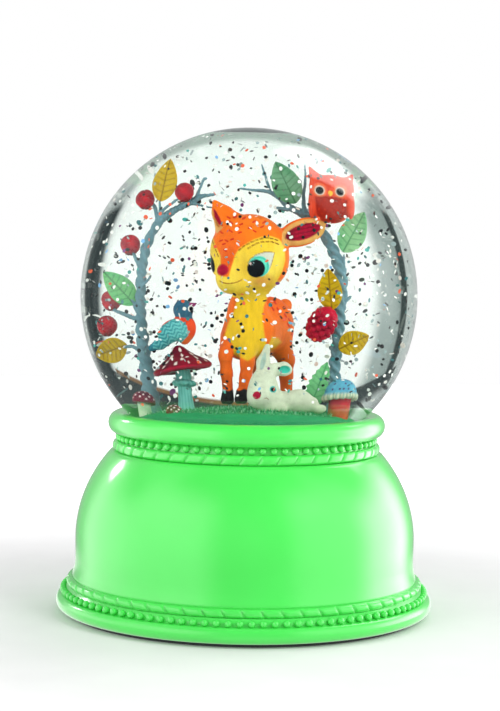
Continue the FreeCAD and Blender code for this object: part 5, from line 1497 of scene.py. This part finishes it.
def build_world():
    """A different surround for each kind of ray; see the tables above."""
    world = bpy.data.worlds.new("studio")
    bpy.context.scene.world = world
    world.use_nodes = True
    nodes, links = world.node_tree.nodes, world.node_tree.links
    nodes.clear()

    def math_node(operation, first, second=None):
        item = nodes.new("ShaderNodeMath")
        item.operation = operation
        for socket, value in zip(item.inputs, (first, second)):
            if value is None:
                continue
            if hasattr(value, "is_output"):
                links.new(value, socket)
            else:
                socket.default_value = value
        return item.outputs[0]

    def rise(value, low, high):
        item = nodes.new("ShaderNodeMapRange")
        item.interpolation_type = "SMOOTHSTEP"
        item.inputs["From Min"].default_value = low
        item.inputs["From Max"].default_value = high
        links.new(value, item.inputs["Value"])
        return item.outputs["Result"]

    def window(value, low, high, soft):
        falls = math_node("SUBTRACT", 1.0, rise(value, high - soft, high + soft))
        return math_node("MULTIPLY", rise(value, low - soft, low + soft), falls)

    where = nodes.new("ShaderNodeTexCoord")
    split = nodes.new("ShaderNodeSeparateXYZ")
    links.new(where.outputs["Generated"], split.inputs[0])
    azimuth = math_node("MULTIPLY", math_node("ARCTAN2", split.outputs["X"], split.outputs["Y"]), TO_DEGREES)
    elevation = math_node("MULTIPLY", math_node("ARCSINE", split.outputs["Z"]), TO_DEGREES)

    def blended(share, first, second):
        item = nodes.new("ShaderNodeMix")
        item.data_type = "RGBA"
        for socket, value in zip((item.inputs[0], item.inputs[6], item.inputs[7]), (share, first, second)):
            if hasattr(value, "is_output"):
                links.new(value, socket)
            else:
                socket.default_value = (*value, 1.0)
        return item.outputs[2]

    def room(base, panels):
        level = base
        for az, el, soft, colour in panels:
            mask = math_node("MULTIPLY", window(azimuth, *az, soft), window(elevation, *el, soft))
            level = blended(mask, level, colour)
        return level

    path = nodes.new("ShaderNodeLightPath")
    level = room(ROOM_GREY, STUDIO_LIGHTS)
    level = blended(path.outputs["Is Singular Ray"], level, room(GLASS_GREY, GLASS_LIGHTS))
    level = blended(path.outputs["Is Transmission Ray"], level, room(BACKDROP_GREY, BACKDROP_PANELS))
    shallow = math_node("LESS_THAN", path.outputs["Transmission Depth"], 2.5)
    mirrored = math_node("MULTIPLY", shallow, path.outputs["Is Transmission Ray"])
    level = blended(mirrored, level, SLATE)
    level = blended(path.outputs["Is Camera Ray"], level, (1.0, 1.0, 1.0))
    back = nodes.new("ShaderNodeBackground")
    out = nodes.new("ShaderNodeOutputWorld")
    links.new(level, back.inputs["Color"])
    links.new(back.outputs[0], out.inputs["Surface"])


def build_stage():
    """A pale floor, clear from below, and three lamps."""
    points = [(x * FLOOR_HALF, y * FLOOR_HALF, FLOOR_Z) for x, y in ((-1, -1), (1, -1), (1, 1), (-1, 1))]
    floor = make_object("studio_floor", points, [[0, 1, 2, 3]])
    shader = Shader("floor_paper", 0.6)
    grain = shader.noise(40.0, 2.0)
    shader.colour(shader.ramp(grain, [(0.3, (0.71, 0.7, 0.71)), (0.7, (0.74, 0.73, 0.74))]))
    shader.surface.inputs["Emission Color"].default_value = (1, 1, 1, 1)
    path = shader.node("ShaderNodeLightPath")
    where = shader.place()
    away = shader.node("ShaderNodeVectorMath", operation="LENGTH")
    shader.link(where, away.inputs[0])
    distance = away.outputs["Value"]
    # painted light: the floor glows, weakly near the object and strongly farther out, so it reads white away
    # from the base
    glow_share = shader.reach(distance, 0.1, 0.34)
    shader.link(shader.span(glow_share, 0.06, 0.8), shader.surface.inputs["Emission Strength"])
    split = shader.node("ShaderNodeSeparateXYZ")
    shader.link(where, split.inputs[0])
    behind = shader.reach(split.outputs["Y"], -0.16, 0.02)
    # painted shadow and shade: the floor seen through the ball is dark grey near the base and near black in
    # front of it
    through = shader.node("ShaderNodeEmission")
    painted_floor_shadow = shader.ramp(distance, [(0.06, (0.16, 0.2, 0.19)), (0.085, (0.5, 0.56, 0.54)),
                                       (0.145, (0.58, 0.64, 0.61))])
    shader.link(shader.blend(shader.reach(split.outputs["Y"], -0.04, 0.0), (0.02, 0.02, 0.02), painted_floor_shadow),
                through.inputs["Color"])
    # painted reflection: the floor mirrored by glossy surfaces is dark in front and bright behind
    mirrored = shader.node("ShaderNodeEmission")
    shader.link(shader.ramp(behind, [(0.0, (0.16, 0.16, 0.16)), (1.0, (1.3, 1.3, 1.3))]),
                mirrored.inputs["Color"])
    # painted reflection: the floor mirrored by the glass is dim
    dim = shader.node("ShaderNodeEmission")
    dim.inputs["Color"].default_value = (0.14, 0.15, 0.15, 1.0)
    open_air = shader.node("ShaderNodeBsdfTransparent").outputs["BSDF"]
    level = shader.surface.outputs["BSDF"]
    for kind, glow, near, far in (("Is Glossy Ray", mirrored, 0.08, 0.15), ("Is Singular Ray", dim, 0.2, 0.4),
                                  ("Is Transmission Ray", through, 0.15, 0.18)):
        faded = shader.choose(shader.reach(distance, near, far), glow.outputs["Emission"], open_air)
        level = shader.choose(path.outputs[kind], level, faded)
    facing = shader.node("ShaderNodeNewGeometry")
    level = shader.choose(facing.outputs["Backfacing"], level, open_air)
    shader.link(level, shader.tree.nodes["Material Output"].inputs["Surface"])
    floor.data.materials.append(shader.material)
    lights = [
        ("key", (0.8, -0.7, 0.9), (0.6, 0.6), 9.0),
        ("fill", (-0.9, -0.7, 0.7), (0.8, 0.8), 4.5),
        ("front", (0.05, -1.5, 0.5), (0.9, 0.9), 4.5),
    ]
    for name, place, size, power in lights:
        light = bpy.data.lights.new(name, "AREA")
        light.shape = "RECTANGLE"
        light.size, light.size_y = size
        light.energy = power
        item = bpy.data.objects.new(name, light)
        item.location = place
        item.rotation_euler = (Vector((0, 0, 0.08)) - Vector(place)).to_track_quat("-Z", "Y").to_euler()
        item.visible_glossy = False
        item.visible_transmission = False
        bpy.context.scene.collection.objects.link(item)


def build_camera():
    data = bpy.data.cameras.new("camera")
    data.lens, data.sensor_width = CAMERA_LENS, 36.0
    data.clip_start, data.clip_end = 0.01, 20.0
    camera = bpy.data.objects.new("camera", data)
    turn = Matrix.Rotation(math.radians(90 - CAMERA_DIP), 4, "X")
    turn = turn @ Matrix.Rotation(math.radians(CAMERA_ROLL), 4, "Z")
    camera.matrix_world = Matrix.Translation(CAMERA_PLACE) @ turn
    bpy.context.scene.collection.objects.link(camera)
    bpy.context.scene.camera = camera


CAMERA_LENS = 92.15
CAMERA_DIP, CAMERA_ROLL = 3.54, 1.061
CAMERA_PLACE = (0.00061, -0.54226, 0.10999)

build_camera()
build_glass()
build_liquid()
build_base()
build_mound()
build_grass()
build_fawn()
build_rabbit()
build_bird()
build_toadstools()
build_tree("tree_left", "left_tree", (-33, 1.5, 63.0), (-6, 13, 122.5), LEFT_TRUNK, LEFT_RADII, LEFT_TWIGS)
build_tree("tree_right", "right_tree", (-4.6, -0.5, 62.4), (25.5, 7.5, 125.5), RIGHT_TRUNK, RIGHT_RADII,
           RIGHT_TWIGS)
build_leaves()
build_fruit()
build_owl()
build_glitter()
dress_cad_nodes()
build_world()
build_stage()
bpy.context.scene.view_settings.view_transform = "Standard"
